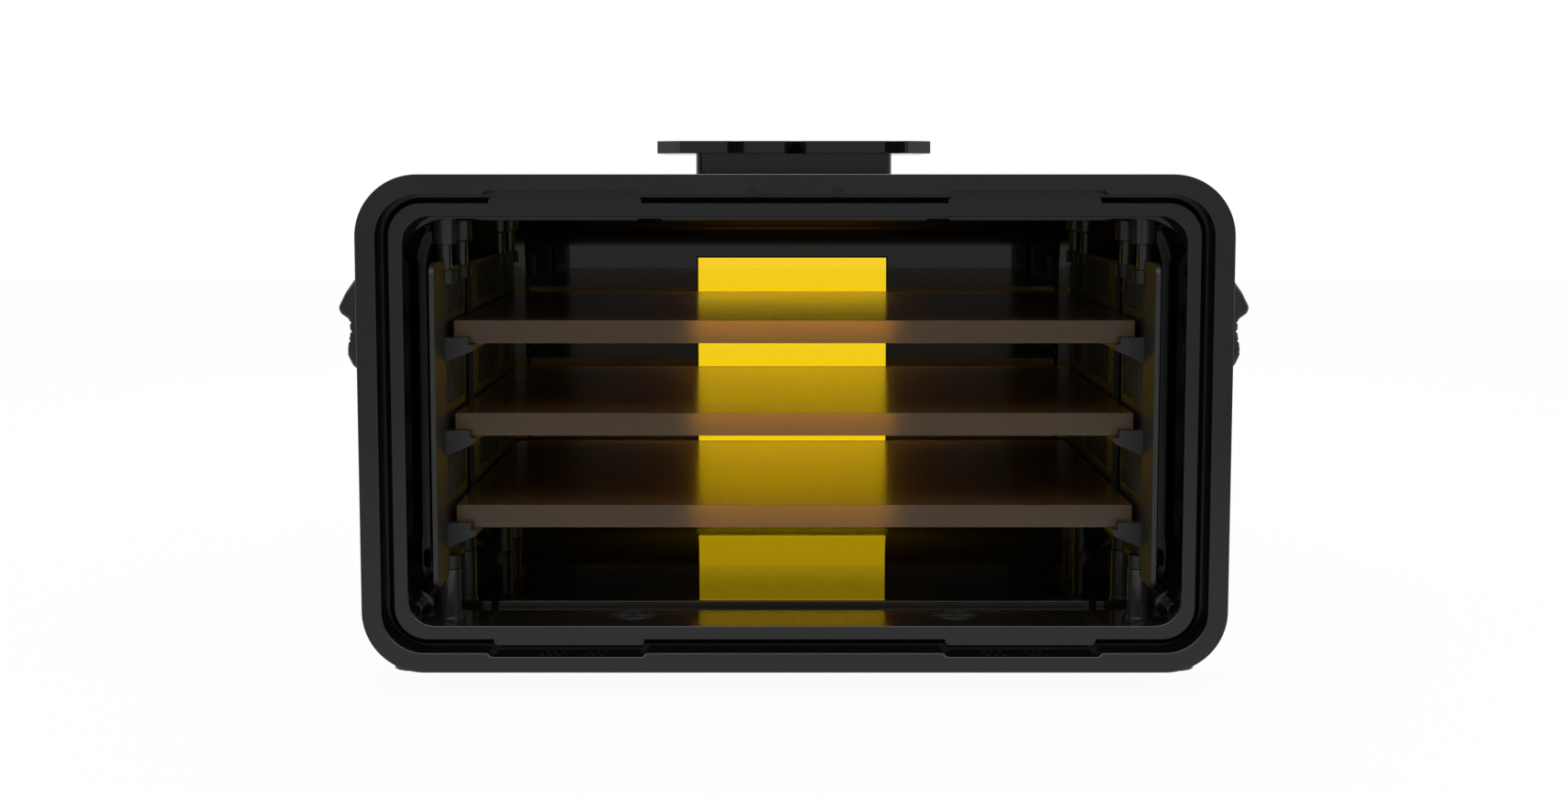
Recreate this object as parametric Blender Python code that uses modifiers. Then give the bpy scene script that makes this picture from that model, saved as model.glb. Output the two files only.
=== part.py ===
"""Front opening wafer pod for three thick rectangular panels, open at its door end.

The pod is drawn around its load. X runs across the opening, Y from the door end to the
back and Z up. Every piece hangs on one empty: below, Y counts back from the front face of
the door frame and Z counts up from the frame's lower edge.
"""

import math

import bmesh
import bpy
from mathutils import Matrix, Vector

FIT = 0.0003                    # gap that touching pieces keep
OVERRUN = 0.002                 # how far a cutting shape runs past what it cuts
FULL_CHAMFER = 0.98             # share of a step's depth that its end chamfer takes

# Load: three rectangular panels
PANEL_WIDTH = 0.3442
PANEL_DEPTH = 0.2726
PANEL_THICKNESS = 0.01155
PANEL_PITCH = 0.0471
PANEL_NAMES = ("bottom", "middle", "top")

# Room that the pod leaves around the load, measured to the frame's outer faces
SIDE_SPACE = 0.0379
FRONT_SPACE = 0.0604
REAR_SPACE = 0.0341
FLOOR_SPACE = 0.06145
HEAD_SPACE = 0.0737

# Door frame
FRAME_DEPTH = 0.030
FRAME_RADIUS = 0.030
RECESS_INSET = 0.0096
LEDGE_FACE = 0.0124             # depth of the sealing ledge behind the frame's front face
GROOVE_WIDTH = 0.0028
GROOVE_DEPTH = 0.020
LEDGE_CHAMFER = 0.0016
LEDGE_WIDTH = 0.0080
LEDGE_THICKNESS = 0.0035
OPENING_ROUNDING = 0.0035       # the opening's corners are this much rounder than an even inset gives
THROAT_SETBACK = 0.0045         # the cavity behind the ledge is this much wider than the opening
LATCH_CENTRE = 0.1107
LATCH_LENGTH = 0.0774
LATCH_POCKET = 0.0019
LATCH_TAB = 0.0014
LATCH_SLOT_DEPTH = 0.0030
LATCH_SLOT_FRONT = 0.0035
LATCH_SLOT_WIDTH = 0.0056
LATCH_RIDGE = 0.0014
MARK_RADIUS = 0.0031
MARK_OFFSET = 0.0211

# Shell
WALL = 0.0035
SHELL_SIDE_INSET = 0.01185      # from the frame's side face to the shell's
SHELL_FLOOR_INSET = 0.0094      # from the frame's lower edge to the shell's underside
SHELL_TOP_INSET = 0.0182        # from the frame's upper edge to the shell's top
SHELL_RADIUS = 0.025
COLLAR_INSET = 0.0030
COLLAR_THICKNESS = 0.0040
HOOP_FRONT = 0.102
HOOP_THICKNESS = 0.0040
HOOP_HEIGHT = 0.0027
HOOP_BREAK_TOP = 0.0752
HOOP_BREAK_TOP_WIDTH = 0.0124
HOOP_BREAK_FLOOR = 0.1587
HOOP_BREAK_FLOOR_WIDTH = 0.0040
STUD_RADIUS = 0.0032
STUD_COLLAR = 0.0046
STUD_COLLAR_LENGTH = 0.0060
STUD_FRONT = 0.024
STUD_LENGTH = 0.0777
STUD_SIDE = 0.0236              # from the frame's side face to the stud's axis
STUD_HEIGHT = 0.0278

# Rear window
WINDOW_WIDTH = 0.1220
WINDOW_TOP = 0.1881
WINDOW_BOTTOM = 0.0180
SEAL_WIDTH = 0.0012

# Side racks
RACK_GAP = 0.0036               # from a panel's side edge to the rack
RACK_PLATE = 0.0024
RACK_TOP = 0.1980
RACK_BOTTOM = 0.0370
RACK_PLATE_RADIUS = 0.0060
FIN_DEPTH = 0.0083
FIN_THICKNESS = 0.0024
FIN_PITCH = 0.0082
WEB_TOP = 0.1940
CUP_RADIUS = 0.0056
CUP_HEIGHT = 0.0070
CUP_TOP = 0.1930
CUP_BOTTOM = 0.0405
SHELF_REACH = 0.0141
SHELF_TIP = 0.0030
SHELF_ROOT = 0.0096
STOP_HEIGHT = 0.0022
STOP_REACH = 0.0118
STOP_LENGTH = 0.0074
FRONT_RACK_START = 0.0200
SHELF_START = 0.0525
FRONT_RACK_END = 0.1260
REAR_RACK_START = 0.1560
REAR_COLUMN = 0.0200
REAR_RACK_OVERRUN = 0.0110      # the rear rack ends this far behind the panels
SLOT_LIFT = 0.0160              # the openings between fins start this far above a shelf
SLOT_MARGIN = 0.0025
LOW_SLOT_LIFT = 0.0038          # the same from the rack's lower edge, below the lowest shelf

# Rack posts
POST_RADIUS = 0.0061
POST_TAPER = 0.0018
POST_OFFSET = 0.0008            # from the racks' inner face out to the posts' axes
TENON_RADIUS = 0.0037
TENON_PLAY = 0.0004
TENON_SHOW = 0.0130             # the tenon shows between an upper post and its cup
TENON_INSERTION = 0.0050
FRONT_POST_FIRST = 0.0620
FRONT_POST_LAST = 0.1190
REAR_POST_FIRST_SETBACK = 0.0660  # from the rear racks' rear end
REAR_POST_LAST_SETBACK = 0.0170

# Top flange
FLANGE_WIDTH = 0.1455
FLANGE_THICKNESS = 0.0066
FLANGE_FRONT = 0.1180
FLANGE_CHAMFER = 0.0128
NECK_WIDTH = 0.1050
NECK_HEIGHT = 0.0283
NECK_WALL = 0.0060
NECK_RADIUS = 0.0040
NECK_HOLLOW_RADIUS = 0.0220
NOTCH_FLARE = 0.0010            # how far the notches' mouths stand out of the flange's edge
NOTCHES = ((-0.0310, 0.0096), (0.0008, 0.0123), (0.0535, 0.0118))
FLANGE_SCREW_PITCH = 0.0820
SCREW_HEAD_RADIUS = 0.0050
SCREW_HEAD_HEIGHT = 0.0035
SCREW_RADIUS = 0.0025
SCREW_LENGTH = 0.0120

# Base
BASE_HEIGHT = 0.013             # the frame's lower edge above the surface the pod stands on
BASE_OVERHANG = 0.00885         # the base plate stands this far out past the shell's side
BASE_FRONT = 0.0600
BASE_REAR_SETBACK = 0.0140
BASE_RADIUS = 0.012
BASE_PLATE = 0.0045
SKIRT = 0.0040
RUNNER_WIDTH = 0.0180
RUNNER_RADIUS = 0.0040
RUNNER_GAP = 0.0040
RUNNER_END_GAP = 0.0200
RECEPTACLE_LENGTH = 0.0440
RECEPTACLE_WIDTH = 0.0280
RECEPTACLE_HEIGHT = 0.0120
RECEPTACLE_RADIUS = 0.0040
RECEPTACLE_GROOVE = 0.0085
COUPLING_HALF_SPAN = 0.1150
COUPLING_FRONT_SETBACK = 0.0600  # from the base plate's front edge
COUPLING_REAR_SETBACK = 0.0481

# Purge ports
PORT_OFFSET = 0.0836
PORT_DISTANCE = 0.0777
PORT_RADIUS = 0.0122
PORT_BORE = 0.0085
PORT_COLLAR = 0.0150
PORT_COLLAR_HEIGHT = 0.0028
PORT_LIFT = 0.0010              # the housing ends this far above the ground
COVER_RADIUS = 0.0102
COVER_THICKNESS = 0.0014
COVER_BAR = 0.0018
COVER_RIM = 0.0018
FILTER_THICKNESS = 0.0018
SEAT_RADIUS = 0.0050
SEAT_THICKNESS = 0.0018
POPPET_RADIUS = 0.0066
POPPET_THICKNESS = 0.0018
STEM_RADIUS = 0.0014
STEM_PLAY = 0.0003
STEM_LENGTH = 0.0150
GUIDE_THICKNESS = 0.0016
GUIDE_LEVEL = 0.0005            # underside of the stem guide, from the frame's lower edge
SPRING_WIRE = 0.0005
SPRING_RADIUS = 0.0042
SPRING_TURNS = 4

# Side handles
HANDLE_FRONT = 0.1200
HANDLE_LENGTH = 0.1300
HANDLE_LEG = 0.0160
HANDLE_LEG_BOTTOM = 0.1430
HANDLE_LEG_TOP = 0.1780
HANDLE_PLATE = 0.0030
HANDLE_PLATE_BOTTOM = 0.1300
HANDLE_PLATE_TOP = 0.1900
HANDLE_PLATE_RADIUS = 0.0080
HANDLE_LEG_INSET = 0.0120       # the legs end this far in from the grip's outermost point
HANDLE_STANDOFF = 0.0444        # from the shell's side face to the outermost point of the grip
# Section of the grip: distance in from its outermost point, height above the frame's lower edge
GRIP_SECTION = (
    (0.0150, 0.1885), (0.0090, 0.1855), (0.0040, 0.1785), (0.0000, 0.1705), (0.0010, 0.1672),
    (0.0056, 0.1640), (0.0060, 0.1570), (0.0047, 0.1500), (0.0043, 0.1455), (0.0070, 0.1395),
    (0.0125, 0.1345), (0.0150, 0.1360), (0.0135, 0.1480), (0.0130, 0.1650), (0.0138, 0.1780),
)

# Values that follow from the ones above
SIDES = ((-1, "left"), (1, "right"))
HALF_WIDTH = PANEL_WIDTH / 2 + SIDE_SPACE
POD_DEPTH = FRONT_SPACE + PANEL_DEPTH + REAR_SPACE
LOAD_TOP = FLOOR_SPACE + FIT + PANEL_PITCH * (len(PANEL_NAMES) - 1) + PANEL_THICKNESS
FRAME_HEIGHT = LOAD_TOP + HEAD_SPACE
OPENING_INSET = RECESS_INSET + GROOVE_WIDTH + LEDGE_WIDTH
SHELL_SIDE = HALF_WIDTH - SHELL_SIDE_INSET
SHELL_BOTTOM = SHELL_FLOOR_INSET
SHELL_TOP = FRAME_HEIGHT - SHELL_TOP_INSET
CAVITY_SIDE = SHELL_SIDE - WALL
CAVITY_FLOOR = SHELL_BOTTOM + WALL
CAVITY_CEILING = SHELL_TOP - WALL
CAVITY_REAR = POD_DEPTH - WALL
RACK_FACE = PANEL_WIDTH / 2 + RACK_GAP
POST_SIDE = RACK_FACE + POST_OFFSET
SHELF_LEVELS = tuple(FLOOR_SPACE + PANEL_PITCH * level for level in range(len(PANEL_NAMES)))
REAR_RACK_END = FRONT_SPACE + PANEL_DEPTH + REAR_RACK_OVERRUN
FRONT_POSTS = (FRONT_POST_FIRST, FRONT_POST_LAST)
REAR_POSTS = (REAR_RACK_END - REAR_POST_FIRST_SETBACK, REAR_RACK_END - REAR_POST_LAST_SETBACK)
BASE_HALF_WIDTH = SHELL_SIDE + BASE_OVERHANG
BASE_TOP = SHELL_BOTTOM - FIT
BASE_REAR = POD_DEPTH - BASE_REAR_SETBACK
COUPLING_FRONT = BASE_FRONT + COUPLING_FRONT_SETBACK
COUPLING_REAR = BASE_REAR - COUPLING_REAR_SETBACK
FLANGE_CENTRE = FLANGE_FRONT + FLANGE_WIDTH / 2
NECK_BOTTOM = SHELL_TOP + FIT
FLANGE_BOTTOM = NECK_BOTTOM + NECK_HEIGHT + FIT
POPPET_LEVEL = -BASE_HEIGHT + PORT_LIFT + SEAT_THICKNESS + FIT

# colour, roughness, metallic, transparency
FINISHES = {
    "gloss_black": ((0.010, 0.010, 0.010), 0.10, 0.0, 0.0),
    "satin_black": ((0.020, 0.020, 0.020), 0.35, 0.0, 0.0),
    "amber": ((0.950, 0.610, 0.010), 0.08, 0.0, 0.5),
    "rubber_black": ((0.015, 0.015, 0.015), 0.60, 0.0, 0.0),
    "panel_brown": ((0.050, 0.036, 0.028), 0.30, 0.0, 0.0),
    "handle_grey": ((0.120, 0.120, 0.120), 0.30, 0.0, 0.0),
    "steel": ((0.550, 0.550, 0.560), 0.25, 1.0, 0.0),
    "membrane": ((0.700, 0.700, 0.680), 0.80, 0.0, 0.0),
}


def clear_scene():
    for obj in list(bpy.data.objects):
        bpy.data.objects.remove(obj, do_unlink=True)


def make_collection(name):
    collection = bpy.data.collections.new(name)
    bpy.context.scene.collection.children.link(collection)
    return collection


def place(name, mesh, location=(0, 0, 0)):
    obj = bpy.data.objects.new(name, mesh)
    parts.objects.link(obj)
    obj.parent = origin
    obj.location = location
    return obj


def combine(target, other, operation):
    """Cut or add one shape, which moves into the cutters' collection."""
    if other.name in parts.objects:
        parts.objects.unlink(other)
        cutters.objects.link(other)
        other.hide_render = True
        other.display_type = "WIRE"
    modifier = target.modifiers.new(other.name, "BOOLEAN")
    modifier.operation = operation
    modifier.solver = "EXACT"
    modifier.object = other


def cut(target, *others):
    for other in others:
        combine(target, other, "DIFFERENCE")


def add(target, *others):
    for other in others:
        combine(target, other, "UNION")


def finish(obj, finish_name):
    colour, roughness, metallic, clear = FINISHES[finish_name]
    material = bpy.data.materials.new(obj.name)
    material.use_nodes = True
    shader = material.node_tree.nodes["Principled BSDF"]
    shader.inputs["Base Color"].default_value = (*colour, 1.0)
    shader.inputs["Roughness"].default_value = roughness
    shader.inputs["Metallic"].default_value = metallic
    shader.inputs["Transmission Weight"].default_value = clear
    obj.data.materials.append(material)
    return obj


def to_mesh(bm, name):
    bmesh.ops.recalc_face_normals(bm, faces=bm.faces)
    mesh = bpy.data.meshes.new(name)
    bm.to_mesh(mesh)
    bm.free()
    return mesh


def block(name, x, y, z, radius=0.0, along="Y", rear_too=False, segments=6):
    """A box between the pairs x, y and z, with its edges along one axis rounded."""
    spans = [sorted(pair) for pair in (x, y, z)]
    size = Vector([high - low for low, high in spans])
    centre = Vector([(high + low) / 2 for low, high in spans])
    bm = bmesh.new()
    bmesh.ops.create_cube(bm, size=1.0)
    bmesh.ops.scale(bm, vec=size, verts=bm.verts)
    if radius:
        direction = Vector([axis == along for axis in "XYZ"])
        edges = []
        for edge in bm.edges:
            run = (edge.verts[1].co - edge.verts[0].co).normalized()
            at_rear = all(vert.co.y > 0 for vert in edge.verts)
            if abs(run.dot(direction)) > 0.9 or (rear_too and at_rear):
                edges.append(edge)
        bmesh.ops.bevel(bm, geom=edges, offset=radius, segments=segments, profile=0.5, affect="EDGES")
    return place(name, to_mesh(bm, name), centre)


def blocks(name, spans):
    """Separate boxes in one mesh, each given as its x, y and z pairs."""
    bm = bmesh.new()
    for span in spans:
        pairs = [sorted(pair) for pair in span]
        size = [high - low for low, high in pairs]
        centre = [(high + low) / 2 for low, high in pairs]
        matrix = Matrix.Translation(centre) @ Matrix.Diagonal((*size, 1.0))
        bmesh.ops.create_cube(bm, size=1.0, matrix=matrix)
    return place(name, to_mesh(bm, name))


def rod(name, centres, bottom_radius, top_radius, low, high, along="Z", sides=16):
    """Upright or lying round bars in one mesh, one at each (x, y, z) centre."""
    direction = Vector([axis == along for axis in "XYZ"])
    middle = direction * (low + high) / 2
    turn = Vector((0, 0, 1)).rotation_difference(direction).to_matrix().to_4x4()
    bm = bmesh.new()
    for centre in centres:
        matrix = Matrix.Translation(Vector(centre) + middle) @ turn
        bmesh.ops.create_cone(bm, cap_ends=True, segments=sides, radius1=bottom_radius, radius2=top_radius,
                              depth=high - low, matrix=matrix)
    return place(name, to_mesh(bm, name))


def turned(name, profile, centre, steps=24):
    """A round piece from a (radius, z) profile, drawn from its top down its outer side.

    A profile that starts on the axis ends there too, and any other profile is closed.
    """
    mesh = bpy.data.meshes.new(name)
    points = [(radius, 0.0, z) for radius, z in profile]
    edges = [(i, i + 1) for i in range(len(points) - 1)]
    if profile[0][0] > 0:
        edges.append((len(points) - 1, 0))
    mesh.from_pydata(points, edges, [])
    obj = place(name, mesh, centre)
    screw = obj.modifiers.new("turn", "SCREW")
    screw.axis = "Z"
    screw.steps = steps
    screw.render_steps = steps
    screw.use_merge_vertices = True
    screw.merge_threshold = 0.00001
    return obj


def screw_piece(name, centre, head_low, head_high, foot, along="Z", sign=1):
    """A pan-head screw whose head faces the positive or negative end of an axis."""
    profile = [(0, head_high), (SCREW_HEAD_RADIUS, head_high), (SCREW_HEAD_RADIUS, head_low),
               (SCREW_RADIUS, head_low), (SCREW_RADIUS, foot), (0, foot)]
    piece = turned(name, profile, centre, steps=12)
    if along == "X":
        piece.rotation_euler = (0, sign * math.pi / 2, 0)
    return finish(smooth(piece), "steel")


def extruded(name, points, y_low, y_high):
    """A flat outline in X and Z, drawn as a filled curve and thickened along Y."""
    curve = bpy.data.curves.new(name, "CURVE")
    curve.dimensions = "2D"
    curve.fill_mode = "BOTH"
    curve.extrude = (y_high - y_low) / 2
    spline = curve.splines.new("POLY")
    spline.points.add(len(points) - 1)
    for point, (x, z) in zip(spline.points, points):
        point.co = (x, z, 0, 1)
    spline.use_cyclic_u = True
    drawn = place(name, curve, (0, (y_low + y_high) / 2, 0))
    drawn.rotation_euler = (math.pi / 2, 0, 0)
    return curve_to_mesh(drawn)


def curve_to_mesh(drawn):
    """Replace a curve object by the welded mesh that it evaluates to."""
    name = drawn.name
    graph = bpy.context.evaluated_depsgraph_get()
    mesh = bpy.data.meshes.new_from_object(drawn.evaluated_get(graph))
    bm = bmesh.new()
    bm.from_mesh(mesh)
    bmesh.ops.remove_doubles(bm, verts=bm.verts, dist=0.000001)
    bmesh.ops.recalc_face_normals(bm, faces=bm.faces)
    bm.to_mesh(mesh)
    bm.free()
    solid = bpy.data.objects.new(name + "_mesh", mesh)
    parts.objects.link(solid)
    solid.parent = drawn.parent
    solid.location = drawn.location
    solid.rotation_euler = drawn.rotation_euler
    bpy.data.objects.remove(drawn)
    solid.name = name
    return solid


def smooth(obj, angle=30):
    obj.data.shade_smooth()
    obj.data.set_sharp_from_angle(angle=math.radians(angle))
    return obj


def ring_block(name, inset, radius, y_low, y_high, **options):
    """A rounded block that keeps one inset from all four sides of the frame."""
    return block(name, (inset - HALF_WIDTH, HALF_WIDTH - inset), (y_low, y_high),
                 (inset, FRAME_HEIGHT - inset), radius=radius, **options)


def latch_places():
    """Each latch position as its centre in X and whether it is on the upper side."""
    return [(side * LATCH_CENTRE, upper) for upper in (False, True) for side in (-1, 1)]


def from_edge(upper, near, far):
    """A Z span measured inwards from the frame's lower or upper edge."""
    if upper:
        return (FRAME_HEIGHT - far, FRAME_HEIGHT - near)
    return (near, far)


def door_frame():
    frame = ring_block("door_frame", 0.0, FRAME_RADIUS, 0.0, FRAME_DEPTH, segments=8)
    ledge_inset = RECESS_INSET + GROOVE_WIDTH
    recess = ring_block("recess", RECESS_INSET, FRAME_RADIUS - RECESS_INSET, -FIT, GROOVE_DEPTH, segments=8)
    cut(frame, recess)
    for index, (x, upper) in enumerate(latch_places()):
        half = LATCH_LENGTH / 2
        z = from_edge(upper, RECESS_INSET - LATCH_POCKET, RECESS_INSET + LATCH_POCKET)
        pocket = block(f"latch_pocket_{index}", (x - half, x + half), (-FIT, GROOVE_DEPTH - FIT), z,
                       radius=LATCH_POCKET * FULL_CHAMFER, segments=1)
        cut(frame, pocket)
    ledge = ring_block("ledge", ledge_inset, FRAME_RADIUS - ledge_inset, LEDGE_FACE, GROOVE_DEPTH + FIT,
                       segments=8)
    chamfer = ledge.modifiers.new("chamfer", "BEVEL")
    chamfer.width = LEDGE_CHAMFER
    chamfer.segments = 1
    chamfer.limit_method = "ANGLE"
    chamfer.angle_limit = math.radians(60)
    add(frame, ledge)
    for index, (x, upper) in enumerate(latch_places()):
        half = LATCH_LENGTH / 2 - LATCH_POCKET
        z = from_edge(upper, ledge_inset - LATCH_TAB, ledge_inset + 2 * LEDGE_CHAMFER)
        tab = block(f"latch_tab_{index}", (x - half, x + half), (LEDGE_FACE, GROOVE_DEPTH + FIT), z,
                    radius=LATCH_TAB * FULL_CHAMFER, segments=1)
        add(frame, tab)
    slots = []
    for x, upper in latch_places():
        half = LATCH_LENGTH / 2 - 2 * LATCH_POCKET
        z = from_edge(upper, RECESS_INSET - LATCH_POCKET - LATCH_SLOT_DEPTH, RECESS_INSET)
        for step in range(2):
            front = LATCH_SLOT_FRONT + step * (LATCH_SLOT_WIDTH + LATCH_RIDGE)
            slots.append(((x - half, x + half), (front, front + LATCH_SLOT_WIDTH), z))
    cut(frame, blocks("latch_slots", slots))
    opening_radius = FRAME_RADIUS - OPENING_INSET + OPENING_ROUNDING
    throat = OPENING_INSET - THROAT_SETBACK
    cut(frame, ring_block("opening", OPENING_INSET, opening_radius, 0.0, FRAME_DEPTH))
    cut(frame, ring_block("throat", throat, opening_radius + THROAT_SETBACK,
                          LEDGE_FACE + LEDGE_THICKNESS, FRAME_DEPTH + FIT))
    cut(frame, block("frame_back", (-CAVITY_SIDE, CAVITY_SIDE), (GROOVE_DEPTH + WALL, FRAME_DEPTH + FIT),
                     (CAVITY_FLOOR, CAVITY_CEILING), radius=SHELL_RADIUS))
    marks = [(side * MARK_OFFSET, 0, FRAME_HEIGHT - RECESS_INSET) for side in (-1, 1)]
    cut(frame, rod("half_round_marks", marks, MARK_RADIUS, MARK_RADIUS, -FIT, LEDGE_FACE, along="Y"))
    return finish(smooth(frame), "satin_black")


def shell_form(name):
    """The moulded box with its cavity, before anything is cut into it."""
    return block(name, (-SHELL_SIDE, SHELL_SIDE), (FRAME_DEPTH + FIT, POD_DEPTH), (SHELL_BOTTOM, SHELL_TOP),
                 radius=SHELL_RADIUS + WALL, rear_too=True)


def shell_cavity(name, front, inset=0.0):
    return block(name, (inset - CAVITY_SIDE, CAVITY_SIDE - inset), (front, CAVITY_REAR - inset),
                 (CAVITY_FLOOR + inset, CAVITY_CEILING - inset), radius=SHELL_RADIUS - inset, rear_too=True)


def shell():
    body = shell_form("shell")
    collar_y = (FRAME_DEPTH + FIT, FRAME_DEPTH + FIT + COLLAR_THICKNESS)
    add(body, ring_block("collar", COLLAR_INSET, FRAME_RADIUS - COLLAR_INSET, *collar_y))
    hoop_end = HOOP_FRONT + HOOP_THICKNESS
    cut(body, shell_cavity("rear_cavity", hoop_end))
    cut(body, block("front_cavity", (-CAVITY_SIDE, CAVITY_SIDE), (0, HOOP_FRONT),
                    (CAVITY_FLOOR, CAVITY_CEILING), radius=SHELL_RADIUS))
    hoop_side = CAVITY_SIDE - HOOP_HEIGHT
    hoop_low = CAVITY_FLOOR + HOOP_HEIGHT
    hoop_high = CAVITY_CEILING - HOOP_HEIGHT
    y = (HOOP_FRONT - FIT, hoop_end + FIT)
    cut(body, block("hoop_opening", (-hoop_side, hoop_side), y, (hoop_low, hoop_high),
                    radius=SHELL_RADIUS - HOOP_HEIGHT))
    breaks = []
    for side in (-1, 1):
        top = side * HOOP_BREAK_TOP
        low = side * HOOP_BREAK_FLOOR
        half_top = HOOP_BREAK_TOP_WIDTH / 2
        half_low = HOOP_BREAK_FLOOR_WIDTH / 2
        breaks.append(((top - half_top, top + half_top), y, (hoop_high - FIT, CAVITY_CEILING)))
        breaks.append(((low - half_low, low + half_low), y, (CAVITY_FLOOR, hoop_low + FIT)))
    cut(body, blocks("hoop_breaks", breaks))
    cut(body, window_block("window_opening", 0.0))
    cut(body, rod("port_holes", port_centres(), PORT_RADIUS + FIT, PORT_RADIUS + FIT,
                  SHELL_BOTTOM - FIT, CAVITY_FLOOR + FIT, sides=24))
    return finish(smooth(body), "gloss_black")


def window_block(name, inset):
    return block(name, (inset - WINDOW_WIDTH / 2, WINDOW_WIDTH / 2 - inset),
                 (CAVITY_REAR - SHELL_RADIUS - OVERRUN, POD_DEPTH + OVERRUN),
                 (WINDOW_BOTTOM + inset, WINDOW_TOP - inset))


def window_piece(name, inset, colour):
    """A stretch of the shell's own rear wall and lower fillet, drawn in by one inset."""
    piece = shell_form(name)
    cut(piece, shell_cavity(name + "_cavity", HOOP_FRONT))
    combine(piece, window_block(name + "_outline", inset), "INTERSECT")
    return finish(smooth(piece), colour)


def rear_window():
    seal = window_piece("window_seal", FIT, "rubber_black")
    cut(seal, window_block("seal_inside", FIT + SEAL_WIDTH))
    window_piece("rear_window", SEAL_WIDTH + 2 * FIT, "amber")


def corner_studs():
    """Round studs in the two lower corners, seated against the hoop by their collars."""
    rear = HOOP_FRONT - FIT
    profile = [(0, STUD_LENGTH), (STUD_RADIUS, STUD_LENGTH), (STUD_RADIUS, STUD_COLLAR_LENGTH),
               (STUD_COLLAR, STUD_COLLAR_LENGTH), (STUD_COLLAR, 0), (0, 0)]
    for side, word in SIDES:
        at = (side * (HALF_WIDTH - STUD_SIDE), rear, STUD_HEIGHT)
        stud = turned(f"corner_stud_{word}", profile, at, steps=16)
        stud.rotation_euler = (math.pi / 2, 0, 0)
        finish(smooth(stud), "satin_black")


def slot_spans(side, runs, below_shelves):
    """Openings between the fins, in a row above each shelf and one below the lowest."""
    outer = side * (RACK_FACE + FIN_DEPTH + FIT)
    inner = side * (RACK_FACE - FIT)
    rows = []
    if below_shelves:
        rows.append((CUP_BOTTOM + LOW_SLOT_LIFT, SHELF_LEVELS[0] - SHELF_ROOT))
    ends = [above - SHELF_ROOT for above in SHELF_LEVELS[1:]] + [WEB_TOP - SLOT_MARGIN]
    for shelf, end in zip(SHELF_LEVELS, ends):
        rows.append((shelf + SLOT_LIFT, end))
    spans = []
    for start, end in runs:
        count = int((end - start + FIT) / FIN_PITCH)
        for index in range(count):
            front = start + index * FIN_PITCH
            for row in rows:
                spans.append(((outer, inner), (front, front + FIN_PITCH - FIN_THICKNESS), row))
    return spans


def shelves(side, name, start, end):
    pieces = []
    root = side * (RACK_FACE + RACK_PLATE / 2)
    tip = side * (RACK_FACE - SHELF_REACH)
    for level, top in zip(PANEL_NAMES, SHELF_LEVELS):
        section = [(root, top), (tip, top), (tip, top - SHELF_TIP), (root, top - SHELF_ROOT)]
        pieces.append(extruded(f"{name}_shelf_{level}", section, start, end))
    return pieces


def stops(side, name, start, end, height):
    x = (side * (RACK_FACE + RACK_PLATE / 2), side * (RACK_FACE - STOP_REACH))
    return blocks(name, [(x, (start, end), (top - SHELF_TIP / 2, top + height)) for top in SHELF_LEVELS])


def cups(side, name, distances):
    """Bosses on the rack that the posts' tenons enter, and the holes for the tenons."""
    hole = TENON_RADIUS + TENON_PLAY
    centres = [(side * POST_SIDE, y, 0) for y in distances]
    low = (CUP_BOTTOM, CUP_BOTTOM + CUP_HEIGHT)
    high = (CUP_TOP - CUP_HEIGHT, CUP_TOP)
    depth = TENON_INSERTION + FIT
    bosses = [rod(f"{name}_low", centres, CUP_RADIUS, CUP_RADIUS, *low),
              rod(f"{name}_high", centres, CUP_RADIUS, CUP_RADIUS, *high)]
    holes = [rod(f"{name}_low_holes", centres, hole, hole, low[0] - FIT, low[0] + depth, sides=12),
             rod(f"{name}_high_holes", centres, hole, hole, high[1] - depth, RACK_TOP + FIT, sides=12)]
    return bosses, holes


def rack(side, name, start, end, runs, post_distances, plate=None):
    """A side rack: a web with openings between its fins, shelves, and cups for its posts."""
    fin_x = (side * RACK_FACE, side * (RACK_FACE + FIN_DEPTH))
    web = (fin_x, (start, end), (CUP_BOTTOM + FIT, WEB_TOP))
    if plate:
        body = block(name, *plate, radius=RACK_PLATE_RADIUS, along="X", segments=3)
        add(body, block(f"{name}_web", *web))
    else:
        body = block(name, *web)
    cut(body, blocks(f"{name}_slots", slot_spans(side, runs, below_shelves=bool(plate))))
    bosses, holes = cups(side, f"{name}_cups", post_distances)
    add(body, *bosses)
    add(body, *shelves(side, name, start - FIT, end + FIT))
    return body, holes


def front_rack(side, word):
    name = f"front_rack_{word}"
    plate = ((side * RACK_FACE, side * (RACK_FACE + RACK_PLATE)),
             (FRONT_RACK_START, SHELF_START + FIN_PITCH / 2), (RACK_BOTTOM, RACK_TOP))
    runs = [(SHELF_START + 2 * SLOT_MARGIN, FRONT_RACK_END - SLOT_MARGIN)]
    body, holes = rack(side, name, SHELF_START, FRONT_RACK_END, runs, FRONT_POSTS, plate)
    add(body, stops(side, f"{name}_stops", SHELF_START, SHELF_START + STOP_LENGTH, STOP_HEIGHT))
    cut(body, *holes)
    finish(body, "satin_black")


def rear_rack(side, word):
    name = f"rear_rack_{word}"
    middle, last = REAR_POSTS
    runs = [(REAR_RACK_START + REAR_COLUMN, middle - REAR_COLUMN), (middle + REAR_COLUMN / 2, last)]
    body, holes = rack(side, name, REAR_RACK_START, REAR_RACK_END, runs, REAR_POSTS)
    back = FRONT_SPACE + PANEL_DEPTH + FIT
    add(body, stops(side, f"{name}_stops", back, back + STOP_LENGTH, PANEL_THICKNESS / 2))
    cut(body, *holes)
    finish(body, "satin_black")


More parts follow.
